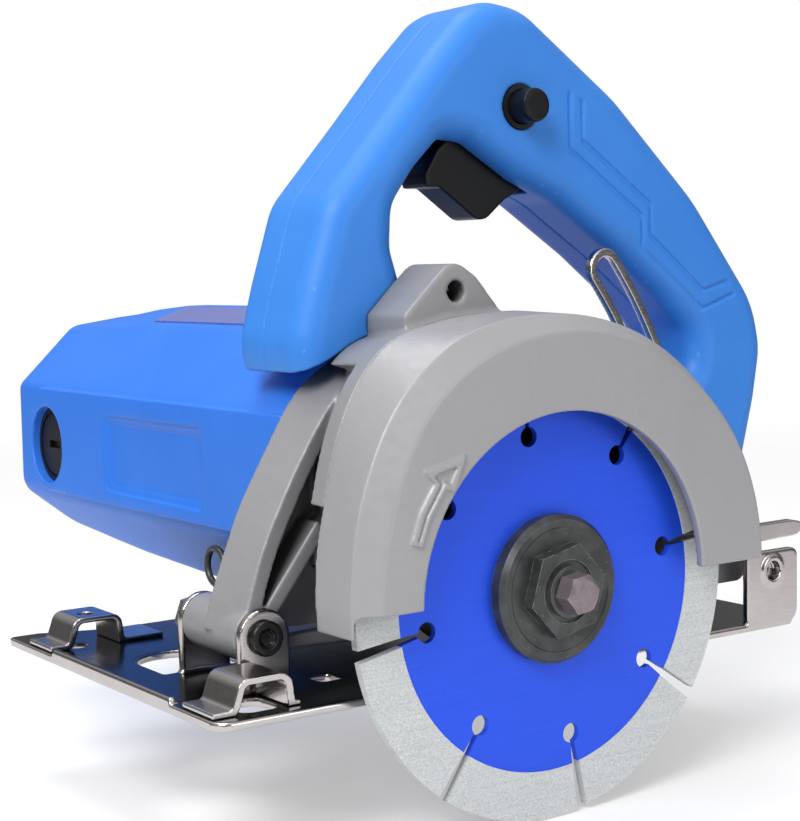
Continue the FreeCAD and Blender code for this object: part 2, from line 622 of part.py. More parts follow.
def fan_wire(table, y, inward):
    """Arc by table, from -12 to 196 degrees, closed straight across below the spindle."""
    steps, floor = 40, -16.0
    points = []
    for i in range(steps + 1):
        angle = -12 + 208 * i / steps
        x, z = on_circle(radius_at(table, angle) - inward, angle)
        points.append(Vector(x, y, z))
    first, last = points[0], points[-1]
    low_first, low_last = Vector(first.x, y, floor), Vector(last.x, y, floor)
    return Part.Wire([spline_edge(points), Part.makeLine(last, low_last),
                      Part.makeLine(low_last, low_first), Part.makeLine(low_first, first)])


def fan_loft(stations):
    """Ruled loft through stations of (radius table, y, distance inward)."""
    return Part.makeLoft([fan_wire(*station) for station in stations], True, True)


def strip_wire(outer_line, shift, y):
    """Band between a spline and its copy shifted by (x, z)."""
    first = [Vector(p[0], y, p[1]) for p in outer_line]
    second = [p + Vector(shift[0], 0, shift[1]) for p in first]
    return Part.Wire([spline_edge(first), Part.makeLine(first[-1], second[-1]),
                      spline_edge(second[::-1]), Part.makeLine(second[0], first[0])])


REAR_R = [(a, r - (1.4 if a > 80 else 0)) for a, r in SEAM_R]
rim = fan_loft([(SEAM_R, GUARD_SEAM, 0.0), (REAR_R, 29.5, 0.6)])
# web behind the guard, and the upper block that carries the rim back under the handle
upper_block = slab([(-42, 53.5), (-30, 50), (-20, 40), (22, 40), (30, 54), (30, 90),
                    (-80, 90), (-80, 53.5)], 0, 60)
rim_zone = box(-90, 90, 0, GUARD_SEAM + 6.5, -4.6, 90).cut(
    box(-90, -37, -1, 60, -10, 23)).fuse(upper_block)
web_hollow = fan_loft([(SEAM_R, GUARD_SEAM + 3.2, 3.2), (SEAM_R, GUARD_SEAM + 9, 3.6)]).common(
    box(-90, 90, 0, 60, -1.6, 90))
web = rim.common(rim_zone).cut(web_hollow.cut(upper_block))
web = web.cut(slab([(-37, 44, 2), (-24, 52, 3), (16, 52, 3), (24, 43, 2)],
                   GUARD_SEAM + 3.2, 26))

# Arm reaching forward and down to the base pivot: the outer line at its far and near ends
ARM_FAR = [
    (-12, 62.4), (-21, 59.6), (-29.8, 55.8), (-37, 52.2), (-42.7, 48.0), (-46.8, 43.5),
    (-50.2, 38.2), (-53.6, 32.5), (-57.1, 26.7), (-60.4, 20.8), (-63.4, 14.0), (-66.0, 7.4),
    (-68.6, 0.6), (-70.6, -6.6)]
ARM_NEAR = [
    (-8, 60.0), (-16, 58.2), (-24, 55.8), (-31, 53.0), (-37.7, 49.1), (-42.4, 44.2),
    (-46.2, 39.2), (-49.6, 34.0), (-52.9, 28.6), (-56.0, 23.0), (-59.3, 16.8), (-62.0, 10.8),
    (-64.6, 3.4), (-67.2, -6.0)]
arm_skin = Part.makeLoft([strip_wire(ARM_NEAR, (3.4, -2.0), 27.3),
                          strip_wire(ARM_FAR, (6.0, -3.6), MOTOR_Y)], True, True)
web_line = [(p[0] + 2.6, p[1] - 1.2) for p in ARM_FAR[4:]]
arm_web = Part.Face(strip_wire(web_line, (31.4, -1.3), 36.8)).extrude(
    Vector(0, MOTOR_Y - 36.8, 0)).common(box(-80, -20, 30, 50, -14, 60))

# Cheek between the web and the arm: (x, z) outlines at its near and far ends
CHEEK_NEAR = [(-53.0, 22), (-53.4, 32.6), (-50.0, 42.4), (-46.0, 49.8), (-41.3, 55.2),
              (-30, 55.2), (-30, 22)]
CHEEK_FAR = [(-43.5, 22), (-43.0, 30), (-41.3, 38), (-38.3, 47.3), (-34.5, 53.6),
             (-30.5, 53.6), (-30.5, 22)]
cheek = Part.makeLoft([xz_wire(CHEEK_NEAR, GUARD_SEAM + 0.2), xz_wire(CHEEK_FAR, 30.3)],
                      True, True)


def case_rod(radius, y0, y1):
    """Round casing about the spindle, flat underneath."""
    return rod(0, 0, radius, y0, y1).common(box(-30, 30, 0, 60, -18.6, 40))


housing = fuse(
    web,
    # casing round the gears and both bearings
    case_rod(19.2, GUARD_SEAM, 35.0).fuse(case_rod(17.6, 8.4, GUARD_SEAM + 1)),
    motor_rod(16.0, GUARD_SEAM, 36.0),
    # bell round the fan, and the flange that meets the motor housing
    motor_rod(32.2, 33.0, MOTOR_Y),
    slab(motor_outline(HALF_W - 0.6, 64.0, 59.2, 41.0, 9.4, -10.9), 36.4, MOTOR_Y),
    # fill between the casing and the nose round the motor axis
    slab([(-19.2, 0), (-25, 20), (6, 20), (19.2, 0), (15, -12), (-15, -12)], GUARD_SEAM, 35),
    cheek, arm_skin, arm_web,
    # pivot barrel, diagonal wall, low bar, tie and knee of the arm
    rod(PIVOT_X, PIVOT_Z, 6.6, 27.2, 52.5),
    slab([(-46.5, 17.5), (-43.5, 15.0), (-58.5, -4.0), (-61.5, -1.8)], 27.5, MOTOR_Y),
    slab([(-60, -13.4, 1), (-26, -14.6, 1), (-26, -10.6, 1), (-60, -10.4, 1)], 36, MOTOR_Y),
    slab([(-46.5, 14.5, 1), (-22, 30, 1), (-22, 12, 1), (-46, 6, 1)], 30, MOTOR_Y),
    slab([(-56, 24, 0.5), (-44, 33, 0.5), (-46.5, 30, 0.5), (-55.0, 21, 0.5)], 31, MOTOR_Y),
    # bored lug on top
    slab([(-30.6, 60, 0.5), (-2.0, 60, 0.5), (-2.0, 63.9, 1), (-9.8, 73.0, 4.9),
          (-16.6, 77.3, 5.0), (-22.4, 72.2, 3.4), (-30.6, 64.4, 1)], 13.6, 29.5),
    # rear boss for the depth clamp and the arm that carries it
    slab([(42, -9.7, 2), (79.5, -9.7, 3), (79.5, 12, 4), (42, 22, 2)], 13.9, 25.0),
    slab([(14, -9.7, 1), (50, -9.7, 1), (50, 20, 1), (14, 34, 1)], GUARD_SEAM + 0.5, 25.0),
    # block joining the upper rim to the bell
    slab([(-26, 44), (8, 44), (8, 56), (-26, 56)], 20, 38))
housing = cut(
    housing,
    # gear chamber
    rod(0, 0, 17.3, 16.6, 26.4).fuse(motor_rod(11.4, 16.2, 26.6)),
    # bearing seats and shaft passages, spindle then motor
    rod(0, 0, 14.0, 8.0, 16.7), rod(0, 0, 11.0, 26.0, 34.2),
    rod(0, 0, 9.0, 15, 20), rod(0, 0, 9.5, 25, 27),
    motor_rod(13.0, 26.9, 38), motor_rod(9.0, 26, 28),
    # fan chamber
    motor_rod(29.5, 37.6, MOTOR_Y + 1),
    # bores: pivot, clamp bolt, lug
    rod(PIVOT_X, PIVOT_Z, dim("pivot_pin_rad") + 0.03, 20, 60),
    rod(CLAMP_X, CLAMP_Z, dim("clamp_rad") + 0.1, 10, 30),
    rod(-15.8, 69.6, 2.5, 12, 26))

# ================================================================= blade guard
FACE_Y, GUARD_WALL = dim("guard_face_y"), dim("guard_wall")
INNER_ANGLES = range(-4, 188, 8)
SEAM_IN = [(a, max(radius_at(SEAM_R, a), 57.9)) for a in INNER_ANGLES]
FACE_IN = [(a, radius_at(FACE_R, a) - 1.2) for a in INNER_ANGLES]
guard_out = fan_loft([(FACE_R, FACE_Y, 0.0), (MID_R, FACE_Y + 4.0, 0.0),
                      (SEAM_R, GUARD_SEAM, 0.0)])
guard_in = fan_loft([(FACE_IN, FACE_Y + 2.3, 0.0), (MID_R, FACE_Y + 5.2, GUARD_WALL),
                     (SEAM_IN, GUARD_SEAM + 0.01, GUARD_WALL)])
# the flange inside the guard that the fixing screws pull against the gear housing
inner_flange = fan_loft([(SEAM_IN, GUARD_SEAM - 3.0, GUARD_WALL - 0.2),
                         (SEAM_IN, GUARD_SEAM, GUARD_WALL - 0.2)]).cut(rod(0, 0, 46.0, 0, 20))
guard = cut(guard_out, guard_in, rod(0, 0, dim("guard_window_rad"), -20, 0))
guard = guard.fuse(inner_flange.common(box(-90, 90, 0, 60, 6, 90)))
# stepped lower edge
below = fuse(box(-90, 90, -30, FACE_Y + 3.4, -60, 0.9), box(-57.6, 90, -30, 40, -60, 0.3),
             box(-90, 90, -30, 40, -60, -4.2))
guard = biggest(tidy(guard.cut(below)))
# raised arrow on the face with a sunk middle
arrow = slab([(-30.4, 34.0), (-41.6, 31.4), (-38.9, 28.6), (-43.0, 22.5), (-45.4, 15.8),
              (-42.6, 15.0), (-40.4, 21.0), (-36.0, 27.2), (-33.6, 26.2)],
             FACE_Y - 0.8, FACE_Y + 0.4)
arrow_in = slab([(-32.6, 32.0), (-39.2, 30.4), (-37.4, 28.4), (-41.6, 22.2), (-43.9, 16.4),
                 (-43.2, 16.2), (-41.0, 21.6), (-36.2, 28.6), (-34.6, 28.0)],
                FACE_Y - 0.9, FACE_Y - 0.05)
guard = biggest(guard.fuse(arrow).cut(arrow_in))
guard_screws = []
for angle in (32, 90, 148):
    x, z = on_circle(51.0, angle)
    guard = guard.cut(rod(x, z, 2.15, 5, 12))
    housing = housing.cut(rod(x, z, 2.05, 8, 15.5))
    screw = fuse(rod(x, z, 3.7, 4.9, 7.0), rod(x, z, 2.0, 6.9, 13.0))
    guard_screws.append(screw.cut(box(x - 0.5, x + 0.5, 4, 5.7, z - 3, z + 3)))
feature("blade_guard", guard)
feature("guard_screws", Part.makeCompound(guard_screws))

# Bearing retainer: plate over the front spindle bearing, three screws
RETAINER_HOLES = [on_circle(15.6, 60 + 120 * k) for k in range(3)]
retainer = body("bearing_retainer")
pad(retainer, add_sketch(retainer, "XZ_Plane", "retainer_outline", -7.0,
                         circles=[(0, 0, 17.6), (0, 0, 12.8)]), 1.4, "plate", rev=True)
doc.recompute()
pocket(retainer, add_sketch(retainer, "XZ_Plane", "retainer_holes",
                            circles=[(x, z, 1.1) for x, z in RETAINER_HOLES]),
       30, "screw_holes")
retainer_screws = []
for x, z in RETAINER_HOLES:
    housing = housing.cut(rod(x, z, 1.05, 8, 16))
    retainer_screws.append(fuse(rod(x, z, 1.8, 6.0, 7.0), rod(x, z, 1.0, 6.9, 14.0)))
feature("retainer_screws", Part.makeCompound(retainer_screws))

# ================================================================= handle
# Side outline of the handle loop: (x, z, corner radius)
GRIP = [
    (-46.5, 44.0, 10), (-49.8, 58.0, 16), (-46.2, 71.5, 14), (-40.0, 91.0, 16),
    (-22.5, 110.5, 20), (-8.5, 126.6, 20), (2.0, 137.4, 14), (9.0, 140.8, 14),
    (20.4, 139.3, 18), (50.8, 118.4, 40), (78.9, 92.7, 60), (101.9, 64.2, 30),
    (104.9, 51.0, 20), (102.2, 36.6, 30), (96.2, 15.0, 12), (84.0, 6.0, 14), (8.0, 3.0, 9),
    (8.0, 40.5, 9), (60.0, 40.5, 8), (77.0, 44.5, 9), (77.5, 56.0, 9), (66.5, 66.2, 16),
    (52.0, 77.2, 16), (31.0, 91.0, 16), (17.8, 97.0, 14), (3.0, 106.0, 6), (-5.4, 106.6, 5),
    (-13.6, 98.6, 8), (-20.0, 90.0, 9), (-20.6, 80.0, 9), (-17.5, 70.0, 12), (-13.5, 57.0, 8),
    (-12.0, 44.0, 9)]
POSTS = [(-34, 84), (-6, 119), (66, 97), (95, 44), (44, 20)]      # handle screws, x and z
HANDLE_WALL = dim("handle_wall")
GRIP_ROUND = 7.0


def faces_at(items, y):
    """Faces or edges lying wholly in the plane of one y."""
    return [item for item in items
            if abs(item.BoundBox.YMin - y) < 1e-4 and abs(item.BoundBox.YMax - y) < 1e-4]


def rounded_half(y0, y1, outside):
    """Solid half of the handle, rounded along its outside face."""
    half = slab(GRIP, y0, y1)
    return half.makeFillet(GRIP_ROUND, faces_at(half.Edges, outside))


def grip_inside(inward, y0, y1):
    base = faces_at(slab(GRIP, y0, y0 + 1).Faces, y0)[0]
    return base.makeOffset2D(-inward).extrude(Vector(0, y1 - y0, 0))


near_full = rounded_half(NEAR, HANDLE_SEAM, NEAR)
far_full = rounded_half(HANDLE_SEAM, FAR, FAR)
hollow_zone = slab([(-70, 62), (29.0, 62), (29.0, 0), (160, 0), (160, 160), (-70, 160)],
                   0, 100)
near_hollow = fuse(grip_inside(HANDLE_WALL + 0.2, NEAR + 9.0, HANDLE_SEAM + 1),
                   grip_inside(HANDLE_WALL + 3.4, NEAR + 3.6, HANDLE_SEAM + 1))
far_hollow = fuse(grip_inside(HANDLE_WALL + 0.2, HANDLE_SEAM - 1, FAR - 9.0),
                  grip_inside(HANDLE_WALL + 3.4, HANDLE_SEAM - 1, FAR - 3.6))
near_half = near_full.cut(near_hollow.common(hollow_zone))
far_half = far_full.cut(far_hollow.common(hollow_zone))
for x, z in POSTS:
    near_half = near_half.fuse(rod(x, z, 3.6, NEAR + 2, HANDLE_SEAM))
    far_half = far_half.fuse(rod(x, z, 3.9, HANDLE_SEAM, FAR - 1.5).common(far_full))

trigger_gap = slab([(-10.8, 93.2), (-10.8, 98.4), (-6.4, 107), (2.5, 118.5), (10.5, 119.5),
                    (32.0, 107.6), (29.0, 97.0), (24.2, 93.0), (10, 84)], 37.6, 48.8)
# room for the gear housing: lower limb, front foot of the near half, and of the far half
limb_end = slab([(-12, -10), (28.4, -10), (28.4, 41.2), (-12, 41.2)], 0, 44.5)
foot_near = slab([(-60, 40), (-60, 46.8), (-48.6, 51.0), (-43.0, 53.6), (-37.4, 56.4),
                  (-31.6, 59.0), (-26.0, 61.4), (-20.0, 63.4), (-8, 65.5), (0, 66), (0, 40)],
                 0, 46.2)
foot_far = slab([(-62, 36), (-62, 50.8), (-46, 51.2), (-38, 52.4), (-31, 56.0), (-24, 59.8),
                 (-16, 62.6), (-9, 64.4), (-9, 40)], 45.8, 64)
near_half = biggest(cut(near_half, trigger_gap, limb_end, foot_near, motor_outer, housing))
far_half = biggest(cut(far_half, trigger_gap, foot_far, motor_outer, housing))

# screws through the far half into posts in the near half, with cross slots in their heads
handle_screws = []
for x, z in POSTS:
    near_half = near_half.cut(rod(x, z, 1.75, 33.0, HANDLE_SEAM + 1))
    far_half = cut(far_half, rod(x, z, 2.0, HANDLE_SEAM - 1, FAR + 1),
                   rod(x, z, 3.6, FAR - 3.0, FAR + 1))
    screw = fuse(rod(x, z, 1.7, 34.0, FAR - 2.9), rod(x, z, 3.3, FAR - 2.95, FAR - 0.8))
    for half_x, half_z in ((2.2, 0.4), (0.4, 2.2)):
        screw = screw.cut(box(x - half_x, x + half_x, FAR - 1.8, FAR, z - half_z, z + half_z))
    handle_screws.append(screw)

# seat and bore for the lock button in the near half
BUTTON = (dim("button_x"), dim("button_z"))
BUTTON_RAD = dim("button_rad")
near_half = cut(near_half, rod(*BUTTON, 5.7, NEAR - 2, NEAR + 1.2),
                rod(*BUTTON, BUTTON_RAD + 0.25, NEAR - 2, NEAR + 8))

# zig-zag groove pressed into the near side of the grip: its centre line, clockwise
ZIGZAG = [(32.8, 119.0), (36.9, 116.6), (36.9, 106.6), (60.2, 90.6), (60.2, 82.4),
          (79.2, 67.6), (88.4, 70.0), (91.2, 66.6), (79.0, 62.6), (57.2, 79.0), (57.2, 87.6),
          (32.8, 104.3)]
GROOVE_HALF = 0.62


def inset(points, inward):
    """A clockwise outline with each point moved in, square to the line past it."""
    moved = []
    for i, (x, z) in enumerate(points):
        before, after = points[i - 1], points[(i + 1) % len(points)]
        run, rise = after[0] - before[0], after[1] - before[1]
        length = math.hypot(run, rise)
        moved.append((x + rise / length * inward, z - run / length * inward))
    return moved


groove = cut(*[slab(inset(ZIGZAG, inward), NEAR - 0.6, NEAR + 0.8)
               for inward in (-GROOVE_HALF, GROOVE_HALF)])
feature("handle_near", biggest(near_half.cut(groove)))
feature("handle_far", biggest(far_half))
feature("handle_screws", Part.makeCompound(handle_screws))
feature("lock_button_collar", cut(rod(*BUTTON, 5.5, NEAR - 0.4, NEAR + 1.15),
                                  rod(*BUTTON, BUTTON_RAD + 0.22, NEAR - 2, NEAR + 3)))
button_y = NEAR - dim("button_proud")
button = body("lock_button", "Spec.button_x", "Spec.button_z")
revolve(button, add_sketch(button, "XY_Plane", "button_profile", outlines=[[
    (0, button_y), (BUTTON_RAD - 0.7, button_y), (BUTTON_RAD - 0.2, button_y + 0.3),
    (BUTTON_RAD, button_y + 0.9), (BUTTON_RAD, NEAR + 1.6), (2.6, NEAR + 1.6),
    (2.6, NEAR + 5.4), (0, NEAR + 5.4)]]))

# Trigger: finger face below, body reaching up to the switch.
trigger = body("trigger")
pad(trigger, add_sketch(trigger, "XZ_Plane", "trigger_profile", -38.0, [[
    (-2.6, 104.2, 1.5), (-6.6, 98.0, 1.2), (-6.2, 94.9, 0.8), (-2.0, 95.0, 1.5),
    (11.0, 85.9, 4.2), (18.4, 92.0, 3.0), (23.4, 94.4, 1.0), (27.0, 101.0, 1.0),
    (6.0, 112.0, 2.0)]]), 10.4, "trigger_pad", rev=True)
doc.recompute()
# Switch body inside the handle, above the trigger.
feature("switch_body", slab([(11.5, 121.6, 1), (33.5, 110.0, 1), (37.2, 116.8, 1),
                             (17.0, 130.4, 1)], 37.0, 54.0))

# Top label: blank plate on the front slope of the motor housing's ridge
SLOPE = math.atan2(5.0, 14.0)
LABEL_THICK = 0.6
low_end = Vector(-26.2, 60.66, 0)
high_end = low_end + Vector(10.6, 10.6 * math.tan(SLOPE), 0)
lift = Vector(-math.sin(SLOPE), math.cos(SLOPE), 0) * LABEL_THICK
feature("top_label", slab([(p.x, p.y) for p in (low_end, high_end, high_end + lift,
                                               low_end + lift)], 92, 147).cut(motor_outer))

# Cord guard and a length of cord out of the far side of the rear limb
cord_start = Vector(90, 59.6, 24)
cord_dir = Vector(0.35, 0.90, -0.10)
cord_dir.normalize()
sleeve = Part.makeCone(6.2, 4.4, 24, cord_start, cord_dir)
for k in range(5):
    sleeve = sleeve.cut(Part.makeTorus(6.6 - 0.33 * k, 0.9,
                                       cord_start + cord_dir * (6 + 3.6 * k), cord_dir))
sleeve = sleeve.cut(Part.makeCylinder(3.4, 70, cord_start + cord_dir, cord_dir))
cord = Part.makeCylinder(3.38, 69, cord_start + cord_dir, cord_dir)
feature("cord_guard", biggest(sleeve.cut(far_full)))
feature("power_cord", biggest(cord.cut(far_full)))

# ================================================================= housing fasteners
housing_screws = []
for x, z in ((-40.8, 7.0), (18.6, 43.6), (20.8, 7.0)):
    housing = housing.cut(rod(x, z, 2.3, 30, MOTOR_Y + 1))
    motor = motor.cut(rod(x, z, 2.05, MOTOR_Y - 1, MOTOR_Y + 16))
    housing_screws.append(rod(x, z, 2.0, 33.2, MOTOR_Y + 14))
feature("housing_screws", Part.makeCompound(housing_screws))
feature("motor_housing", biggest(motor))
feature("gear_housing", biggest(tidy(housing)))

# Wire loop for the water hose, at the lower front edge of the motor housing
CLIP_X = MOTOR_X - HALF_W - 0.2
clip_loop = Part.makeTorus(4.6, 0.9, Vector(CLIP_X, 75.5, 0.4), Vector(1, 0, 0))
clip_foot = Part.makeCylinder(0.9, 8, Vector(CLIP_X, 71.0, 1.6), Vector(1, 0, 0.2))
feature("hose_clip", biggest(fuse(clip_loop, clip_foot).cut(motor_outer)))

# ================================================================= base
FRONT, REAR = dim("plate_front"), dim("plate_rear")
PLATE_NEAR, PLATE_FAR = dim("plate_near"), dim("plate_far")
EAR_RAD, PIN_RAD = dim("ear_rad"), dim("pivot_pin_rad")
STRIP_Y, STRIP_THICK = dim("strip_y"), dim("strip_thick")
RIVET_Y = STRIP_Y + 10.0
RIVETS_X = (64.5, 74.0)
TAB_HOLE = (80.9, -6.2)

plate = body("base_plate")
sheet = add_sketch(plate, "XY_Plane", "plate_outline", SOLE, [[
    (FRONT, PLATE_NEAR, 4), (REAR, PLATE_NEAR, 4.5), (REAR, PLATE_FAR, 5),
    (-60.0, PLATE_FAR, 3), (-78.0, 119.0, 3), (FRONT, 119.0, 1.5)]])
sheet.setExpression("AttachmentOffset.Base.z", "Spec.sole_z")
pad(plate, sheet, PLATE, "sheet", "Spec.plate_thick")
# two ears standing on the plate for the pivot
for i, y0 in enumerate((24.9, 52.8)):
    ear = add_sketch(plate, "XZ_Plane", "ear_%d" % i, -y0)
    arc_closed(ear, [(PIVOT_X - EAR_RAD, PIVOT_Z), (PIVOT_X - EAR_RAD, SOLE + 0.5),
                     (PIVOT_X + EAR_RAD, SOLE + 0.5), (PIVOT_X + EAR_RAD, PIVOT_Z)],
               (PIVOT_X, PIVOT_Z + EAR_RAD))
    pad(plate, ear, PLATE, "ear_pad_%d" % i, "Spec.plate_thick", rev=True)
# rear tab: bent up from the near edge
pad(plate, add_sketch(plate, "XZ_Plane", "tab", -PLATE_NEAR, [[
    (71.7, SOLE + 0.3, 0), (90.7, SOLE + 0.3, 4.5), (90.7, -0.9, 2.5), (71.7, -0.9, 1.5)]]),
    PLATE, "tab_pad", rev=True)
# low lip turned up along the front edge between the two hoops
pad(plate, add_sketch(plate, "XZ_Plane", "front_lip", -28.0, [[
    (FRONT, PLATE_TOP - 0.4, 0), (FRONT + 1.8, PLATE_TOP - 0.4, 0),
    (FRONT + 1.8, PLATE_TOP + 1.5, 0.5), (FRONT, PLATE_TOP + 1.5, 0.8)]]),
    63.0, "front_lip_pad", rev=True)
# collar round the hole in the tab
pad(plate, add_sketch(plate, "XZ_Plane", "collar", -(PLATE_NEAR - 0.6),
                      circles=[(*TAB_HOLE, 3.9)]), 4.2, "collar_pad", rev=True)
doc.recompute()
pocket(plate, add_sketch(plate, "XY_Plane", "openings", outlines=[
    [(PIVOT_X - 10.2, 54.85, 0), (PIVOT_X + 10.2, 54.85, 0), (PIVOT_X + 10.2, 77.0, 10),
     (PIVOT_X - 10.2, 77.0, 10)],
    [(-77.0, 11.0, 3), (-67.4, 11.0, 3), (-67.4, 22.0, 3), (-77.0, 22.0, 3)],
    [(-48.2, 24.6, 1.0), (-42.8, 24.6, 1.0), (-42.8, 30.6, 1.0), (-48.2, 30.6, 1.0)]],
    circles=[(-76.3, 97.6, 2.6)]), 90, "openings_cut")
pocket(plate, add_sketch(plate, "XZ_Plane", "cross_holes", circles=[
    (PIVOT_X, PIVOT_Z, PIN_RAD + 0.05, "Spec.pivot_pin_rad + 0.05"), (*TAB_HOLE, 2.5)]),
    200, "cross_holes_cut")
pocket(plate, add_sketch(plate, "XY_Plane", "rivet_holes",
                         circles=[(x, RIVET_Y, 1.55) for x in RIVETS_X]),
       60, "rivet_holes_cut")


def hoop(label, y0, width, tail_x):
    """Folded strap on the front edge that takes the bar of the side fence."""
    thick, low = dim("hoop_thick"), PLATE_TOP
    top = low + dim("hoop_high")
    strap = body(label)
    pad(strap, add_sketch(strap, "XZ_Plane", label + "_fold", -y0, [[
        (-85.2, low, 0), (-79.0, low, 1.6), (-76.9, top - thick, 1.6),
        (-67.0, top - thick, 1.6), (-66.4, low, 0.2), (tail_x, low, 0),
        (tail_x, low + thick * 0.8, 0.3), (-64.6, low + thick * 0.8, 1.0), (-65.4, top, 3.0),
        (-78.2, top, 3.0), (-80.4, low + thick, 1.0), (-85.2, low + thick, 0.4)]]),
        width, label + "_strap", rev=True)
    return strap


FAR_HOOP_Y = 93.6
far_hoop = hoop("fence_hoop_far", FAR_HOOP_Y, 13.4, -53.5)
pocket(far_hoop, add_sketch(far_hoop, "XY_Plane", "fence_hoop_far_hole",
                            circles=[(-73.0, FAR_HOOP_Y + 5.4, 2.1)]),
       60, "fence_hoop_far_thread")
hoop("fence_hoop_near", 9.5, 14.0, -63.2)

# Pivot pin with a recessed head, and its nut
turned("pivot_pin", [
    (0, 24.1), (0, 58.6), (2.5, 58.6), (3.0, 58.0), (3.0, 24.85), (4.1, 24.85), (4.1, 23.6),
    (3.8, 23.2), (2.3, 23.2), (2.3, 24.1)], "Spec.pivot_x", "Spec.pivot_z")
nut = body("pivot_nut", "Spec.pivot_x", "Spec.pivot_z")
pad(nut, add_sketch(nut, "XZ_Plane", "nut_hex", -55.05, [hexagon(9.6, 10)], [(0, 0, 3.03)]),
    3.4, "nut_pad", rev=True)


def arc_band(half, a0, a1, y0, y1, round_start=True):
    """Band about the pivot between two angles in degrees, its top end rounded."""
    r0, r1 = ARC_RAD - half, ARC_RAD + half
    cap_angle = math.degrees(half / ARC_RAD)
    middle = 0.5 * (a0 + a1)

    def point(r, angle):
        x, z = on_circle(r, angle)
        return Vector(PIVOT_X + x, y0, PIVOT_Z + z)

    edges = [Part.Arc(point(r1, a0), point(r1, middle), point(r1, a1)).toShape(),
             Part.Arc(point(r1, a1), point(ARC_RAD, a1 + cap_angle), point(r0, a1)).toShape(),
             Part.Arc(point(r0, a1), point(r0, middle), point(r0, a0)).toShape()]
    if round_start:
        edges.append(Part.Arc(point(r0, a0), point(ARC_RAD, a0 - cap_angle),
                              point(r1, a0)).toShape())
    else:
        edges.append(Part.makeLine(point(r0, a0), point(r1, a0)))
    return Part.Face(Part.Wire(edges)).extrude(Vector(0, y1 - y0, 0))


# Depth strip: slotted arc about the pivot, with a foot riveted to the plate
STRIP_TOP = 38.0          # degrees above the pivot
clamp_angle = math.degrees(math.asin((CLAMP_Z - PIVOT_Z) / ARC_RAD))
strip = arc_band(dim("strip_half"), -5.25, STRIP_TOP, STRIP_Y, STRIP_Y + STRIP_THICK,
                 round_start=False)
strip = strip.cut(arc_band(dim("strip_slot_half"), clamp_angle - 0.1, STRIP_TOP,
                           STRIP_Y - 1, STRIP_Y + 5))
strip = strip.fuse(box(61.5, 77.0, STRIP_Y, STRIP_Y + 2.0, PLATE_TOP, PLATE_TOP + 3.4))
strip = strip.fuse(box(60.5, 78.0, STRIP_Y, STRIP_Y + 15.0, PLATE_TOP, PLATE_TOP + 2.0))
strip = strip.cut(box(0, 100, 0, 100, -40, PLATE_TOP))
rivets = []
for x in RIVETS_X:
    strip = strip.cut(pin_z(x, RIVET_Y, 1.6, PLATE_TOP - 4, 10))
    rivet_head = Part.makeSphere(2.7, Vector(x, RIVET_Y, PLATE_TOP + 1.1)).common(
        box(0, 100, 0, 100, PLATE_TOP + 2.0, 40))
    rivets.append(fuse(pin_z(x, RIVET_Y, 1.5, SOLE + 0.05, 4.0), rivet_head))
feature("depth_strip", biggest(strip))
feature("strip_rivets", Part.makeCompound(rivets))

# Clamp: bolt through boss and strip, washer, and the lever that tightens it
ON_CLAMP = (repr(CLAMP_X), repr(CLAMP_Z))
clamp_y = STRIP_Y + STRIP_THICK + 1.25          # underside of the bolt head
clamp = body("clamp_bolt", *ON_CLAMP)
revolve(clamp, add_sketch(clamp, "XY_Plane", "clamp_profile", outlines=[[
    (0, 9.9), (2.6, 9.9), (3.0, 10.3), (3.0, clamp_y), (6.2, clamp_y), (5.4, clamp_y + 2.2),
    (2.6, clamp_y + 3.2), (0, clamp_y + 3.2)]]))
turned("clamp_washer", [(3.1, clamp_y - 1.2), (7.0, clamp_y - 1.2), (7.0, clamp_y - 0.02),
                        (3.1, clamp_y - 0.02)], *ON_CLAMP)
lever = fuse(rod(CLAMP_X, CLAMP_Z, 5.4, 10.15, 13.85),
             slab([(CLAMP_X, 0.2, 0.5), (95.6, 1.1, 1.5), (97.6, 2.2, 1.2), (97.6, 4.6, 1.2),
                   (94.0, 5.4, 1.5), (CLAMP_X, 5.2, 0.5)], 10.6, 13.2))
feature("depth_lever", lever.cut(rod(CLAMP_X, CLAMP_Z, 3.03, 8, 16)))

# ================================================================= checks and files
doc.recompute()
faults = []
for obj in doc.Objects:
    if any(state in ("Invalid", "Error") for state in obj.State):
        faults.append("%s: %s" % (obj.Label, obj.State))
for obj in PIECES:
    if obj.Shape.isNull() or not obj.Shape.isValid():
        faults.append("%s: shape null or not valid" % obj.Label)
    elif not obj.Shape.Solids:
        faults.append("%s: no solid" % obj.Label)
if faults:
    raise RuntimeError("; ".join(faults))
os.makedirs("parts", exist_ok=True)
for obj in PIECES:
    obj.Shape.exportStep("parts/%s.step" % obj.Label)
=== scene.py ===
# A hand-held circular cutter: motor housing, handle, gear housing, diamond-rimmed blade,
# blade guard and base plate. Metres, +Z up; the camera looks from the -X, -Y side, and the
# tapped holes and the pivot pin run along Y.
import bpy, bmesh, math, json
from mathutils import Vector, Matrix


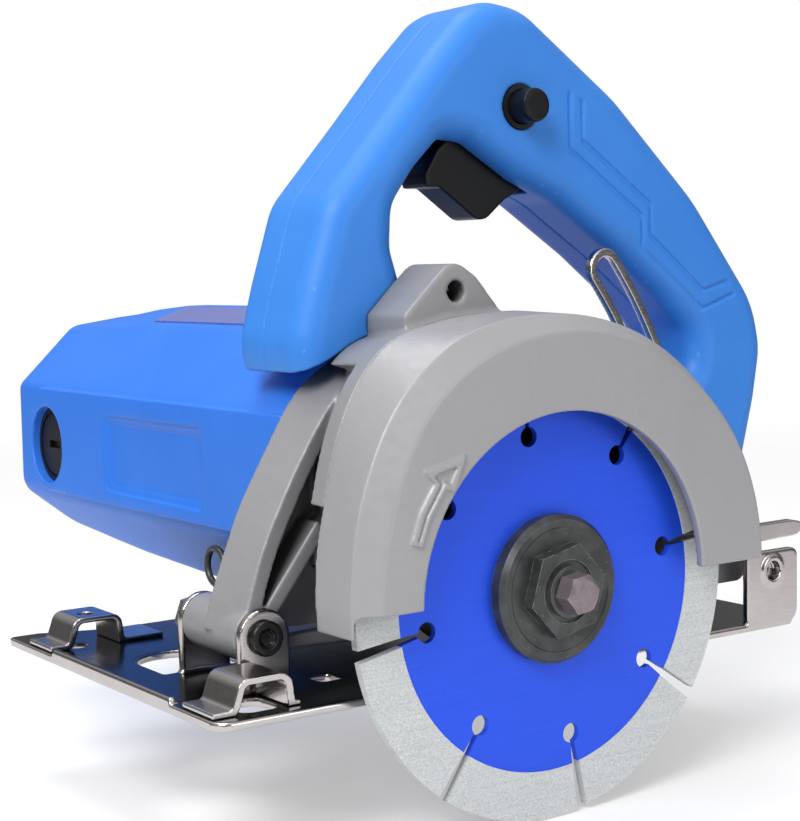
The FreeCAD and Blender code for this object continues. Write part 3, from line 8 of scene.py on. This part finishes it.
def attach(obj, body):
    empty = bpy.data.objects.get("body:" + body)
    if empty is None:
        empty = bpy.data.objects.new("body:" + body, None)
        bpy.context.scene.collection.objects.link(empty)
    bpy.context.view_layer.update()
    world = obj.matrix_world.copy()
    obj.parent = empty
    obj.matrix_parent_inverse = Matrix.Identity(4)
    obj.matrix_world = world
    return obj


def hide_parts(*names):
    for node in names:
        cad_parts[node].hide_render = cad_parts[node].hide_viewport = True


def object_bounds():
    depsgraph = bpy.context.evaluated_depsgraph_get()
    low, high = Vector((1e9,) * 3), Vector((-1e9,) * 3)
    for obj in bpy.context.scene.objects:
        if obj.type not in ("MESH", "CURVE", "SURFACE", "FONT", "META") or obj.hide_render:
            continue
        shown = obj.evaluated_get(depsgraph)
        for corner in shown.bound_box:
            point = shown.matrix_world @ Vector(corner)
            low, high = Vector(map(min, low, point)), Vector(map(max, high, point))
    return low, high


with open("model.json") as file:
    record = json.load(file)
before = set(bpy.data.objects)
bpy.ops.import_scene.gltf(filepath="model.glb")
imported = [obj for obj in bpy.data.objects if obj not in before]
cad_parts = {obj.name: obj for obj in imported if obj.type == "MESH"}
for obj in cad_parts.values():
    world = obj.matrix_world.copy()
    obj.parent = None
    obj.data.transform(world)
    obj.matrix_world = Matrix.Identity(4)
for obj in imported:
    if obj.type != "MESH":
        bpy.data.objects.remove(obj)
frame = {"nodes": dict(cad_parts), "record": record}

CAD_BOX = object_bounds()
NODES = frame["nodes"]
BODY = {node: body for body, nodes in frame["record"]["behaviour"]["bodies"].items()
        for node in nodes}
SLOT = {part["node"]: part["material_slot"] for part in frame["record"]["subparts"]}


# ------------------------------------------------------------------ node trees
class Nodes:
    """A node tree, written as function calls."""

    def __init__(self, tree):
        self.tree = tree

    def feed(self, socket, value):
        """Link an output to the socket, or set the socket's own value."""
        if isinstance(value, bpy.types.NodeSocket):
            self.tree.links.new(value, socket)
        elif isinstance(value, tuple) and socket.type == "RGBA":
            socket.default_value = (*value, 1)
        else:
            socket.default_value = value

    def node(self, kind, **settings):
        """A new node; each setting is a property or, failing that, an input."""
        node = self.tree.nodes.new(kind)
        for key, value in settings.items():
            if key in node.bl_rna.properties:
                setattr(node, key, value)
            else:
                self.feed(node.inputs[key], value)
        return node

    def remap(self, value, span=(0.3, 0.7), to=(0, 1)):
        return self.node("ShaderNodeMapRange", Value=value, **{
            "From Min": span[0], "From Max": span[1],
            "To Min": to[0], "To Max": to[1]}).outputs["Result"]

    def ramp(self, fac, stops):
        """Colour ramp; stops are (position, RGB)."""
        node = self.node("ShaderNodeValToRGB", Fac=fac)
        elements = node.color_ramp.elements
        while len(elements) < len(stops):
            elements.new(0.5)
        for element, (position, color) in zip(elements, stops):
            element.position = position
            element.color = (*color, 1)
        return node.outputs["Color"]

    def separate_z(self, vector):
        return self.node("ShaderNodeSeparateXYZ", Vector=vector).outputs["Z"]

    def mix_shaders(self, fac, first, second):
        node = self.node("ShaderNodeMixShader")
        for i, value in enumerate((fac, first, second)):
            self.feed(node.inputs[i], value)
        return node.outputs[0]


class Material(Nodes):
    """A Principled material with textures in object space."""

    SURFACE_INPUTS = {
        "color": "Base Color", "rough": "Roughness", "metal": "Metallic", "normal": "Normal",
        "coat": "Coat Weight", "coat_rough": "Coat Roughness", "spec": "Specular IOR Level",
    }

    def __init__(self, name):
        self.material = bpy.data.materials.new(name)
        self.material.use_nodes = True
        super().__init__(self.material.node_tree)
        self.bsdf = self.tree.nodes["Principled BSDF"]
        self.coords = self.node("ShaderNodeTexCoord").outputs["Object"]

    def noise(self, scale=1.0, detail=3, roughness=0.55, stretch=None, distortion=0):
        """Noise; stretch scales the coordinates per axis, which draws it out into streaks."""
        vector = self.coords
        if stretch:
            vector = self.node("ShaderNodeMapping", Vector=vector, Scale=stretch).outputs["Vector"]
        return self.node("ShaderNodeTexNoise", Scale=scale, Detail=detail, Roughness=roughness,
                         Distortion=distortion, Vector=vector).outputs["Fac"]

    def mix(self, fac, below, above, blend="MIX"):
        node = self.node("ShaderNodeMix", data_type="RGBA", blend_type=blend)
        for i, value in ((0, fac), (6, below), (7, above)):
            self.feed(node.inputs[i], value)
        return node.outputs[2]

    def math(self, operation, first, second):
        node = self.node("ShaderNodeMath", operation=operation)
        self.feed(node.inputs[0], first)
        self.feed(node.inputs[1], second)
        return node.outputs[0]

    def bump(self, height, strength, distance, **normal):
        return self.node("ShaderNodeBump", Height=height, Strength=strength,
                         Distance=distance, **normal).outputs["Normal"]

    def edge(self):
        """1 on the convex edges of a fine mesh."""
        geometry = self.node("ShaderNodeNewGeometry")
        return self.remap(geometry.outputs["Pointiness"], span=(0.52, 0.60))

    def corner(self, radius):
        """1 along the sharp corners of a coarse mesh, 0 on its faces."""
        flat = self.node("ShaderNodeNewGeometry").outputs["Normal"]
        rounded = self.node("ShaderNodeBevel", samples=6, Radius=radius).outputs["Normal"]
        dot = self.node("ShaderNodeVectorMath", operation="DOT_PRODUCT")
        self.feed(dot.inputs[0], flat)
        self.feed(dot.inputs[1], rounded)
        turned = self.math("SUBTRACT", 1.0, dot.outputs["Value"])
        return self.remap(turned, span=(0.03, 0.22))

    def surface(self, **looks):
        for key, value in looks.items():
            self.feed(self.bsdf.inputs[self.SURFACE_INPUTS[key]], value)
        return self.material


def shade(color, factor):
    return tuple(c * factor for c in color)


# ------------------------------------------------------------------ materials
def blue_plastic(name, tint=(1.0, 1.0, 1.0)):
    mat = Material(name)
    mottle = mat.noise(scale=14, detail=2)
    grain = mat.noise(scale=2600, detail=2, roughness=0.6)
    ripple = mat.noise(scale=900, detail=2)
    color = mat.mix(mottle, below=(0.024, 0.140, 0.62), above=(0.032, 0.162, 0.68))
    patches = mat.remap(mat.noise(scale=60, detail=4), span=(0.45, 0.75), to=(0, 0.22))
    color = mat.mix(patches, color, above=(0.045, 0.19, 0.74))
    streaks = mat.noise(detail=5, roughness=0.7, stretch=(60, 160, 420), distortion=1.2)
    scuffs = mat.remap(streaks, span=(0.66, 0.78), to=(0, 0.30))
    color = mat.mix(scuffs, color, above=(0.08, 0.24, 0.78))
    wear = mat.math("MULTIPLY", mat.edge(),
                    mat.remap(mat.noise(scale=300), span=(0.45, 0.7), to=(0, 0.45)))
    color = mat.mix(wear, color, above=(0.10, 0.28, 0.82))
    # painted light: the tint scales the colour, so that copies of this plastic stand for more or
    # less light falling on them
    color = mat.mix(1.0, color, above=tint, blend="MULTIPLY")
    normal = mat.bump(ripple, strength=0.10, distance=0.0002)
    normal = mat.bump(grain, strength=0.16, distance=0.00010, Normal=normal)
    return mat.surface(color=color, rough=mat.remap(grain, to=(0.40, 0.54)), normal=normal,
                       spec=0.28)


def grey_cast(name, tint):
    mat = Material(name)
    grain = mat.noise(scale=2200, detail=2, roughness=0.6)
    ripple = mat.noise(scale=420)
    color = mat.mix(mat.noise(scale=22), below=shade(tint, 0.93), above=shade(tint, 1.06))
    specks = mat.remap(mat.noise(scale=1500, detail=1), span=(0.62, 0.8), to=(0, 0.35))
    color = mat.mix(specks, color, above=shade(tint, 0.8))
    # painted shade: the deep pockets of the casting are darkened, where shade falls in them
    openness = mat.node("ShaderNodeAmbientOcclusion", samples=6, Distance=0.026).outputs["AO"]
    painted_pocket_shade = mat.remap(openness, span=(0.08, 0.56), to=(0.90, 0.0))
    color = mat.mix(painted_pocket_shade, color, above=shade(tint, 0.10))
    normal = mat.bump(ripple, strength=0.12, distance=0.0004)
    normal = mat.bump(grain, strength=0.14, distance=0.00012, Normal=normal)
    return mat.surface(color=color, rough=mat.remap(ripple, to=(0.36, 0.52)), normal=normal,
                       metal=0.15, spec=0.5)


def blade_blue(name):
    mat = Material(name)
    lines = mat.noise(detail=4, roughness=0.65, stretch=(60, 60, 9000))
    bands = mat.noise(detail=2, roughness=0.5, stretch=(9, 9, 2600))
    color = mat.mix(lines, below=(0.006, 0.042, 0.52), above=(0.020, 0.105, 0.84))
    patches = mat.remap(mat.noise(scale=30), span=(0.3, 0.8), to=(0, 0.35))
    color = mat.mix(patches, color, above=(0.012, 0.080, 0.74))
    specks = mat.remap(mat.noise(scale=1400, detail=2), span=(0.66, 0.74), to=(0, 0.45))
    color = mat.mix(specks, color, above=(0.01, 0.035, 0.42))
    normal = mat.bump(bands, strength=0.08, distance=0.0001)
    normal = mat.bump(lines, strength=0.10, distance=0.00008, Normal=normal)
    return mat.surface(color=color, rough=mat.remap(lines, to=(0.34, 0.50)), normal=normal,
                       metal=0.30, coat=0.06, coat_rough=0.3, spec=0.35)


def diamond(name):
    mat = Material(name)
    cells = mat.node("ShaderNodeTexVoronoi", feature="F1", Scale=2600, Vector=mat.coords)
    grit = mat.noise(scale=3600, detail=2, roughness=0.7)
    color = mat.ramp(grit, stops=[
        (0.30, (0.30, 0.31, 0.315)), (0.45, (0.43, 0.45, 0.455)),
        (0.60, (0.52, 0.545, 0.55)), (0.76, (0.68, 0.70, 0.71))])
    spots = mat.remap(cells.outputs["Distance"], span=(0.0, 0.22), to=(1, 0))
    color = mat.mix(mat.math("MULTIPLY", spots, 0.35), color, above=(0.22, 0.22, 0.22))
    streaks = mat.noise(roughness=0.6, stretch=(40, 40, 2600))
    streaks = mat.remap(streaks, span=(0.35, 0.7), to=(0, 0.25))
    color = mat.mix(streaks, color, above=(0.72, 0.73, 0.73))
    return mat.surface(color=color, rough=0.66, metal=0.15,
                       normal=mat.bump(grit, strength=0.35, distance=0.00020))


def black_steel(name):
    mat = Material(name)
    grain = mat.noise(roughness=0.6, stretch=(900, 900, 900))
    mottle = mat.remap(mat.noise(scale=160, detail=4), span=(0.35, 0.65))
    color = mat.mix(mottle, below=(0.028, 0.030, 0.031), above=(0.062, 0.067, 0.066))
    wear = mat.math("MULTIPLY", mat.corner(radius=0.00032),
                    mat.remap(mat.noise(scale=700), span=(0.38, 0.58), to=(0.0, 0.85)))
    color = mat.mix(wear, color, above=(0.36, 0.36, 0.35))
    flecks = mat.remap(mat.noise(scale=1500, detail=1), span=(0.70, 0.76), to=(0, 0.5))
    color = mat.mix(flecks, color, above=(0.22, 0.22, 0.215))
    return mat.surface(color=color, rough=mat.remap(grain, to=(0.30, 0.44)), metal=0.35,
                       normal=mat.bump(grain, strength=0.10, distance=0.0001))


def zinc(name):
    mat = Material(name)
    mottle = mat.noise(scale=420, detail=4)
    color = mat.mix(mottle, below=(0.17, 0.135, 0.150), above=(0.27, 0.225, 0.240))
    dots = mat.noise(scale=2600, detail=1)
    dark_dots = mat.remap(dots, span=(0.6, 0.7), to=(0, 0.45))
    color = mat.mix(dark_dots, color, above=(0.09, 0.07, 0.075))
    wear = mat.math("MULTIPLY", mat.corner(radius=0.00025),
                    mat.remap(mat.noise(scale=900, detail=2), span=(0.35, 0.55), to=(0.1, 0.9)))
    color = mat.mix(wear, color, above=(0.62, 0.58, 0.59))
    return mat.surface(color=color, rough=mat.remap(mottle, to=(0.26, 0.42)), metal=0.55,
                       normal=mat.bump(dots, strength=0.2, distance=0.00012))


def nickel(name, base=(0.50, 0.47, 0.46), painted_dark_reflection=0.0):
    """Bright sheet; the last argument sets how strongly a dark reflection is painted onto its
    upward faces.
    """
    mat = Material(name)
    grain = mat.noise(roughness=0.6, stretch=(140, 2400, 2400))
    color = mat.mix(mat.noise(scale=45, detail=4), below=shade(base, 0.80),
                    above=shade(base, 1.15))
    if painted_dark_reflection:
        # painted reflection: upward faces are darkened, as a dark surround mirrored in the bright
        # sheet would look
        facing = mat.separate_z(mat.node("ShaderNodeNewGeometry").outputs["Normal"])
        top = mat.remap(facing, span=(0.90, 0.985), to=(0, painted_dark_reflection))
        color = mat.mix(top, color, above=(0.012, 0.020, 0.021))
    return mat.surface(color=color, rough=mat.remap(grain, to=(0.12, 0.26)), metal=1.0,
                       normal=mat.bump(grain, strength=0.05, distance=0.0001))


def one_noise(name, noise, below, above, rough, metal, strength, distance):
    """One noise drives colour and bump, and roughness too where rough is a range."""
    mat = Material(name)
    value = mat.noise(**noise)
    if isinstance(rough, tuple):
        rough = mat.remap(value, to=rough)
    return mat.surface(color=mat.mix(value, below, above), rough=rough, metal=metal,
                       normal=mat.bump(value, strength, distance))


def black_plastic(name):
    mat = Material(name)
    grain = mat.noise(scale=2400, detail=2)
    color = mat.mix(mat.noise(scale=60), below=(0.003, 0.0033, 0.004),
                    above=(0.006, 0.0065, 0.0075))
    wear = mat.math("MULTIPLY", mat.edge(), 0.25)
    color = mat.mix(wear, color, above=(0.03, 0.03, 0.034))
    return mat.surface(color=color, rough=mat.remap(grain, to=(0.30, 0.44)), spec=0.20,
                       normal=mat.bump(grain, strength=0.16, distance=0.0001))


def rubber(name):
    mat = Material(name)
    grain = mat.noise(scale=1500)
    color = mat.mix(grain, below=(0.012, 0.012, 0.012), above=(0.035, 0.035, 0.035))
    return mat.surface(color=color, rough=0.68,
                       normal=mat.bump(grain, strength=0.3, distance=0.0002))


def label(name):
    mat = Material(name)
    streaks = mat.noise(detail=2, roughness=0.5, stretch=(20, 420, 20))
    color = mat.mix(streaks, below=(0.10, 0.13, 0.42), above=(0.15, 0.18, 0.50))
    grain = mat.noise(scale=900, detail=2)
    return mat.surface(color=color, rough=0.32, metal=0.15, coat=0.3,
                       normal=mat.bump(grain, strength=0.05, distance=0.0001))


# material name: (its function, that function's arguments)
MAKERS = {
    "blue_plastic": (blue_plastic, {}),
    "grey_casting": (grey_cast, dict(tint=(0.250, 0.248, 0.258))),
    "grey_guard": (grey_cast, dict(tint=(0.288, 0.285, 0.296))),
    "blade_blue": (blade_blue, {}),
    "diamond_matrix": (diamond, {}),
    "black_steel": (black_steel, {}),
    "zinc_steel": (zinc, {}),
    "bright_steel": (one_noise, dict(
        noise=dict(scale=800), below=(0.42, 0.42, 0.43), above=(0.62, 0.62, 0.63),
        rough=(0.20, 0.36), metal=1.0, strength=0.08, distance=0.0001)),
    "nickel_sheet": (nickel, {}),
    "laminations": (one_noise, dict(
        noise=dict(detail=1, roughness=0.5, stretch=(10, 2400, 10)),
        below=(0.10, 0.10, 0.105), above=(0.32, 0.32, 0.33),
        rough=0.42, metal=0.9, strength=0.4, distance=0.0003)),
    "copper": (one_noise, dict(
        noise=dict(detail=1, roughness=0.5, stretch=(500, 2200, 2200)),
        below=(0.36, 0.12, 0.045), above=(0.72, 0.34, 0.14),
        rough=0.32, metal=0.95, strength=0.5, distance=0.0004)),
    "carbon": (one_noise, dict(
        noise=dict(scale=1800, detail=2), below=(0.012, 0.012, 0.013), above=(0.05, 0.05, 0.052),
        rough=0.55, metal=0.2, strength=0.2, distance=0.0001)),
    "black_plastic": (black_plastic, {}),
    "black_rubber": (rubber, {}),
    "label_foil": (label, {}),
    "black_pin": (one_noise, dict(
        noise=dict(scale=900), below=(0.006, 0.0065, 0.007), above=(0.016, 0.017, 0.018),
        rough=(0.22, 0.36), metal=0.4, strength=0.12, distance=0.0001)),
    # lit and shaded copies of the blue plastic: the handle's copy is painted lighter, as if more
    # light falls on it, and the motor's copy is painted darker and deeper blue, as if less light
    # reaches it
    "blue_handle": (blue_plastic, dict(tint=(1.20, 1.26, 0.93))),
    "blue_motor": (blue_plastic, dict(tint=(0.84, 1.04, 0.98))),
    # the base plate's copy has a dark reflection painted onto its upward faces
    "nickel_plate": (nickel, dict(painted_dark_reflection=0.95)),
    "nickel_strip": (nickel, dict(base=(0.50, 0.48, 0.475))),
}
MATS = {name: make(name, **looks) for name, (make, looks) in MAKERS.items()}


def paint(piece, material):
    if not piece.material_slots:
        piece.data.materials.append(None)
    for slot in piece.material_slots:
        slot.material = material


for node, piece in NODES.items():
    paint(piece, MATS[SLOT[node]])


# ------------------------------------------------------------------ mesh helpers
def mesh_object(name, bm):
    """A linked object made from a bmesh, which is freed."""
    mesh = bpy.data.meshes.new(name)
    bm.to_mesh(mesh)
    bm.free()
    piece = bpy.data.objects.new(name, mesh)
    bpy.context.scene.collection.objects.link(piece)
    return piece


def around_y(bm, centre, radius, angle, y):
    """A vertex on a circle about an axis along Y; centre is (x, z)."""
    return bm.verts.new((centre[0] + radius * math.cos(angle), y,
                         centre[1] + radius * math.sin(angle)))


def prism(sides, radius, ends, centre, turn):
    """A closed prism along Y, used as a cutting tool."""
    bm = bmesh.new()
    rings = [[around_y(bm, centre, radius, turn + 2 * math.pi * i / sides, y)
              for i in range(sides)] for y in ends]
    bm.faces.new(rings[0])
    bm.faces.new(rings[1][::-1])
    for i in range(sides):
        j = (i + 1) % sides
        bm.faces.new((rings[0][j], rings[0][i], rings[1][i], rings[1][j]))
    bmesh.ops.recalc_face_normals(bm, faces=bm.faces)
    return mesh_object("tool", bm)


# ------------------------------------------------------------------ moulded and cast pieces
def soften(node, voxel, passes, keep, look=None, cutter=None):
    """A finer copy of a piece, with its edges rounded as the mould leaves them.

    passes is the number of smoothing passes, keep the share of faces left at the end.
    """
    name = node + "_moulded"
    bm = bmesh.new()
    bm.from_mesh(NODES[node].data)
    bmesh.ops.remove_doubles(bm, verts=bm.verts, dist=1e-6)
    piece = mesh_object(name, bm)
    if cutter:
        cut = piece.modifiers.new("cut", "BOOLEAN")
        cut.operation = "DIFFERENCE"
        cut.object = cutter
    remesh = piece.modifiers.new("remesh", "REMESH")
    remesh.mode = "VOXEL"
    remesh.voxel_size = voxel
    remesh.use_smooth_shade = True
    smooth = piece.modifiers.new("smooth", "SMOOTH")
    smooth.factor = 0.5
    smooth.iterations = passes
    piece.modifiers.new("decimate", "DECIMATE").ratio = keep

    depsgraph = bpy.context.evaluated_depsgraph_get()
    mesh = bpy.data.meshes.new_from_object(piece.evaluated_get(depsgraph))
    piece.modifiers.clear()
    if cutter:
        bpy.data.objects.remove(cutter)
    piece.data = mesh
    mesh.name = name
    for face in mesh.polygons:
        face.use_smooth = True
    mesh.materials.clear()
    mesh.materials.append(MATS[look or SLOT[node]])
    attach(piece, BODY[node])
    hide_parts(node)


# the handle halves take the painted-light copy of the blue plastic, and the motor housing the
# painted-shade copy
soften("handle_near", voxel=0.00040, passes=4, keep=0.40, look="blue_handle")
soften("handle_far", voxel=0.0006, passes=5, keep=0.5, look="blue_handle")
soften("motor_housing", voxel=0.00050, passes=3, keep=0.40, look="blue_motor")
soften("gear_housing", voxel=0.0005, passes=4, keep=0.45)
soften("blade_guard", voxel=0.00034, passes=2, keep=0.35)
soften("base_plate", voxel=0.00042, passes=2, keep=0.45, look="nickel_plate")
soften("fence_hoop_far", voxel=0.00022, passes=5, keep=0.5)
soften("fence_hoop_near", voxel=0.00022, passes=5, keep=0.5)
soften("depth_strip", voxel=0.00030, passes=3, keep=0.5, look="nickel_strip")
soften("depth_lever", voxel=0.00022, passes=5, keep=0.5)
soften("trigger", voxel=0.00028, passes=7, keep=0.5)
soften("lock_button", voxel=0.00016, passes=5, keep=0.5)
# the pin has a hexagonal hole
soften("pivot_pin", voxel=0.00018, passes=3, keep=0.5, look="black_pin",
       cutter=prism(sides=6, radius=0.0019, ends=(-0.0420, -0.0378),
                    centre=(-0.0673, 0.0142), turn=0.3))
soften("cord_guard", voxel=0.00030, passes=4, keep=0.5)


# ------------------------------------------------------------------ threads in two tapped holes
HOLE_RADIUS = 0.0025
PITCH = 0.0010
THREAD_STEPS = 36  # per turn
ROOT = HOLE_RADIUS + 0.0001  # sunk a little into the wall
CREST = HOLE_RADIUS - 0.00035
# ridge section: radius, offset along Y in pitches
THREAD_SECTION = ((ROOT, -0.40), (CREST, -0.06), (CREST, 0.06), (ROOT, 0.40))


def thread(name, centre, y0, y1, body, slot):
    """A helical ridge that lines a tapped hole along Y."""
    bm = bmesh.new()
    turns = (y1 - y0) / PITCH - 1.0
    rows = []
    for i in range(int(turns * THREAD_STEPS) + 1):
        angle = 2 * math.pi * i / THREAD_STEPS
        y = y0 + PITCH * 0.5 + PITCH * i / THREAD_STEPS
        rows.append([around_y(bm, centre, radius, angle, y + PITCH * offset)
                     for radius, offset in THREAD_SECTION])
    for row, following in zip(rows, rows[1:]):
        for i in range(4):
            j = (i + 1) % 4
            bm.faces.new((row[i], row[j], following[j], following[i]))
    bm.faces.new(rows[0][::-1])
    bm.faces.new(rows[-1])
    bmesh.ops.recalc_face_normals(bm, faces=bm.faces)
    ridge = mesh_object(name, bm)
    paint(ridge, MATS[slot])
    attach(ridge, body)


thread("lug_thread_form", centre=(-0.0201, 0.0912), y0=-0.0425, y1=-0.0301,
       body="housing", slot="bright_steel")
thread("tab_thread_form", centre=(0.0766, 0.0154), y0=-0.0551, y1=-0.0509,
       body="base", slot="nickel_sheet")


# ------------------------------------------------------------------ stage
def floor_white():
    """Pale floor that fades into the backdrop, so that no horizon shows."""
    mat = Material("floor_white")
    color = mat.mix(mat.noise(scale=3, detail=2), below=(0.86, 0.86, 0.865),
                    above=(0.89, 0.89, 0.895))
    mat.surface(color=color, rough=0.7, spec=0.1)
    reach = mat.node("ShaderNodeVectorMath", operation="LENGTH", Vector=mat.coords)
    fade = mat.remap(reach.outputs["Value"], span=(0.30, 1.0))
    clear = mat.node("ShaderNodeBsdfTransparent").outputs[0]
    glow = mat.node("ShaderNodeEmission", Color=(1, 1, 1), Strength=1.0).outputs[0]
    glow_share = 0.35
    lifted = mat.mix_shaders(glow_share, mat.bsdf.outputs[0], glow)
    faded = mat.mix_shaders(fade, lifted, clear)
    mat.feed(mat.tree.nodes["Material Output"].inputs["Surface"], faded)
    return mat.material


def build_floor():
    bm = bmesh.new()
    bmesh.ops.create_grid(bm, x_segments=2, y_segments=2, size=3.0)
    floor = mesh_object("floor", bm)
    gap = 0.0004  # below the lowest point
    floor.location = (0, 0, CAD_BOX[0][2] - gap)
    paint(floor, floor_white())


# height in the sky (0 straight down, 1 straight up), brightness
SKY = [(0.0, 0.45), (0.20, 0.42), (0.46, 0.16), (0.56, 0.12), (0.70, 0.38), (0.85, 0.72),
       (1.0, 0.85)]


def build_world():
    """White to the camera, a grey gradient to everything else."""
    world = bpy.data.worlds.new("studio")
    bpy.context.scene.world = world
    world.use_nodes = True
    sky = Nodes(world.node_tree)
    background = sky.tree.nodes["Background"]
    z = sky.separate_z(sky.node("ShaderNodeTexCoord").outputs["Generated"])
    height = sky.remap(z, span=(-1, 1))
    gradient = sky.ramp(height, [(at, (grey, grey, grey * 1.01)) for at, grey in SKY])
    sky.feed(background.inputs["Color"], gradient)
    background.inputs["Strength"].default_value = 1.0
    white = sky.node("ShaderNodeBackground", Color=(1, 1, 1), Strength=1.0)
    seen = sky.node("ShaderNodeLightPath").outputs["Is Camera Ray"]
    mixed = sky.mix_shaders(seen, background.outputs[0], white.outputs[0])
    sky.feed(sky.tree.nodes["World Output"].inputs["Surface"], mixed)


def area(name, place, aim, size, power):
    light = bpy.data.lights.new(name, "AREA")
    light.energy = power
    light.size = size
    lamp = bpy.data.objects.new(name, light)
    lamp.location = place
    lamp.rotation_euler = (Vector(aim) - Vector(place)).to_track_quat("-Z", "Y").to_euler()
    bpy.context.scene.collection.objects.link(lamp)


def build_camera():
    data = bpy.data.cameras.new("cam")
    camera = bpy.data.objects.new("cam", data)
    bpy.context.scene.collection.objects.link(camera)
    right = Vector((0.81927, -0.57308, -0.01953)).normalized()
    forward = Vector((0.56987, 0.81751, -0.08317)).normalized()
    up = right.cross(forward).normalized()
    pose = Matrix((right, up, -forward)).transposed().to_4x4()
    pose.translation = Vector((-0.2623, -0.3723, 0.0974))
    camera.matrix_world = pose
    data.sensor_width = 36
    data.lens = 76.07
    data.clip_start = 0.01
    bpy.context.scene.camera = camera


build_floor()
build_world()
area("key", place=(-0.80, -0.50, 0.80), aim=(0, 0, 0.06), size=0.50, power=12.6)
area("fill", place=(0.35, -1.1, 0.30), aim=(0, 0, 0.05), size=0.6, power=3.2)
area("top", place=(-0.15, 0.25, 1.1), aim=(0, 0, 0.05), size=0.5, power=5)
build_camera()
bpy.context.scene.view_settings.view_transform = "Standard"
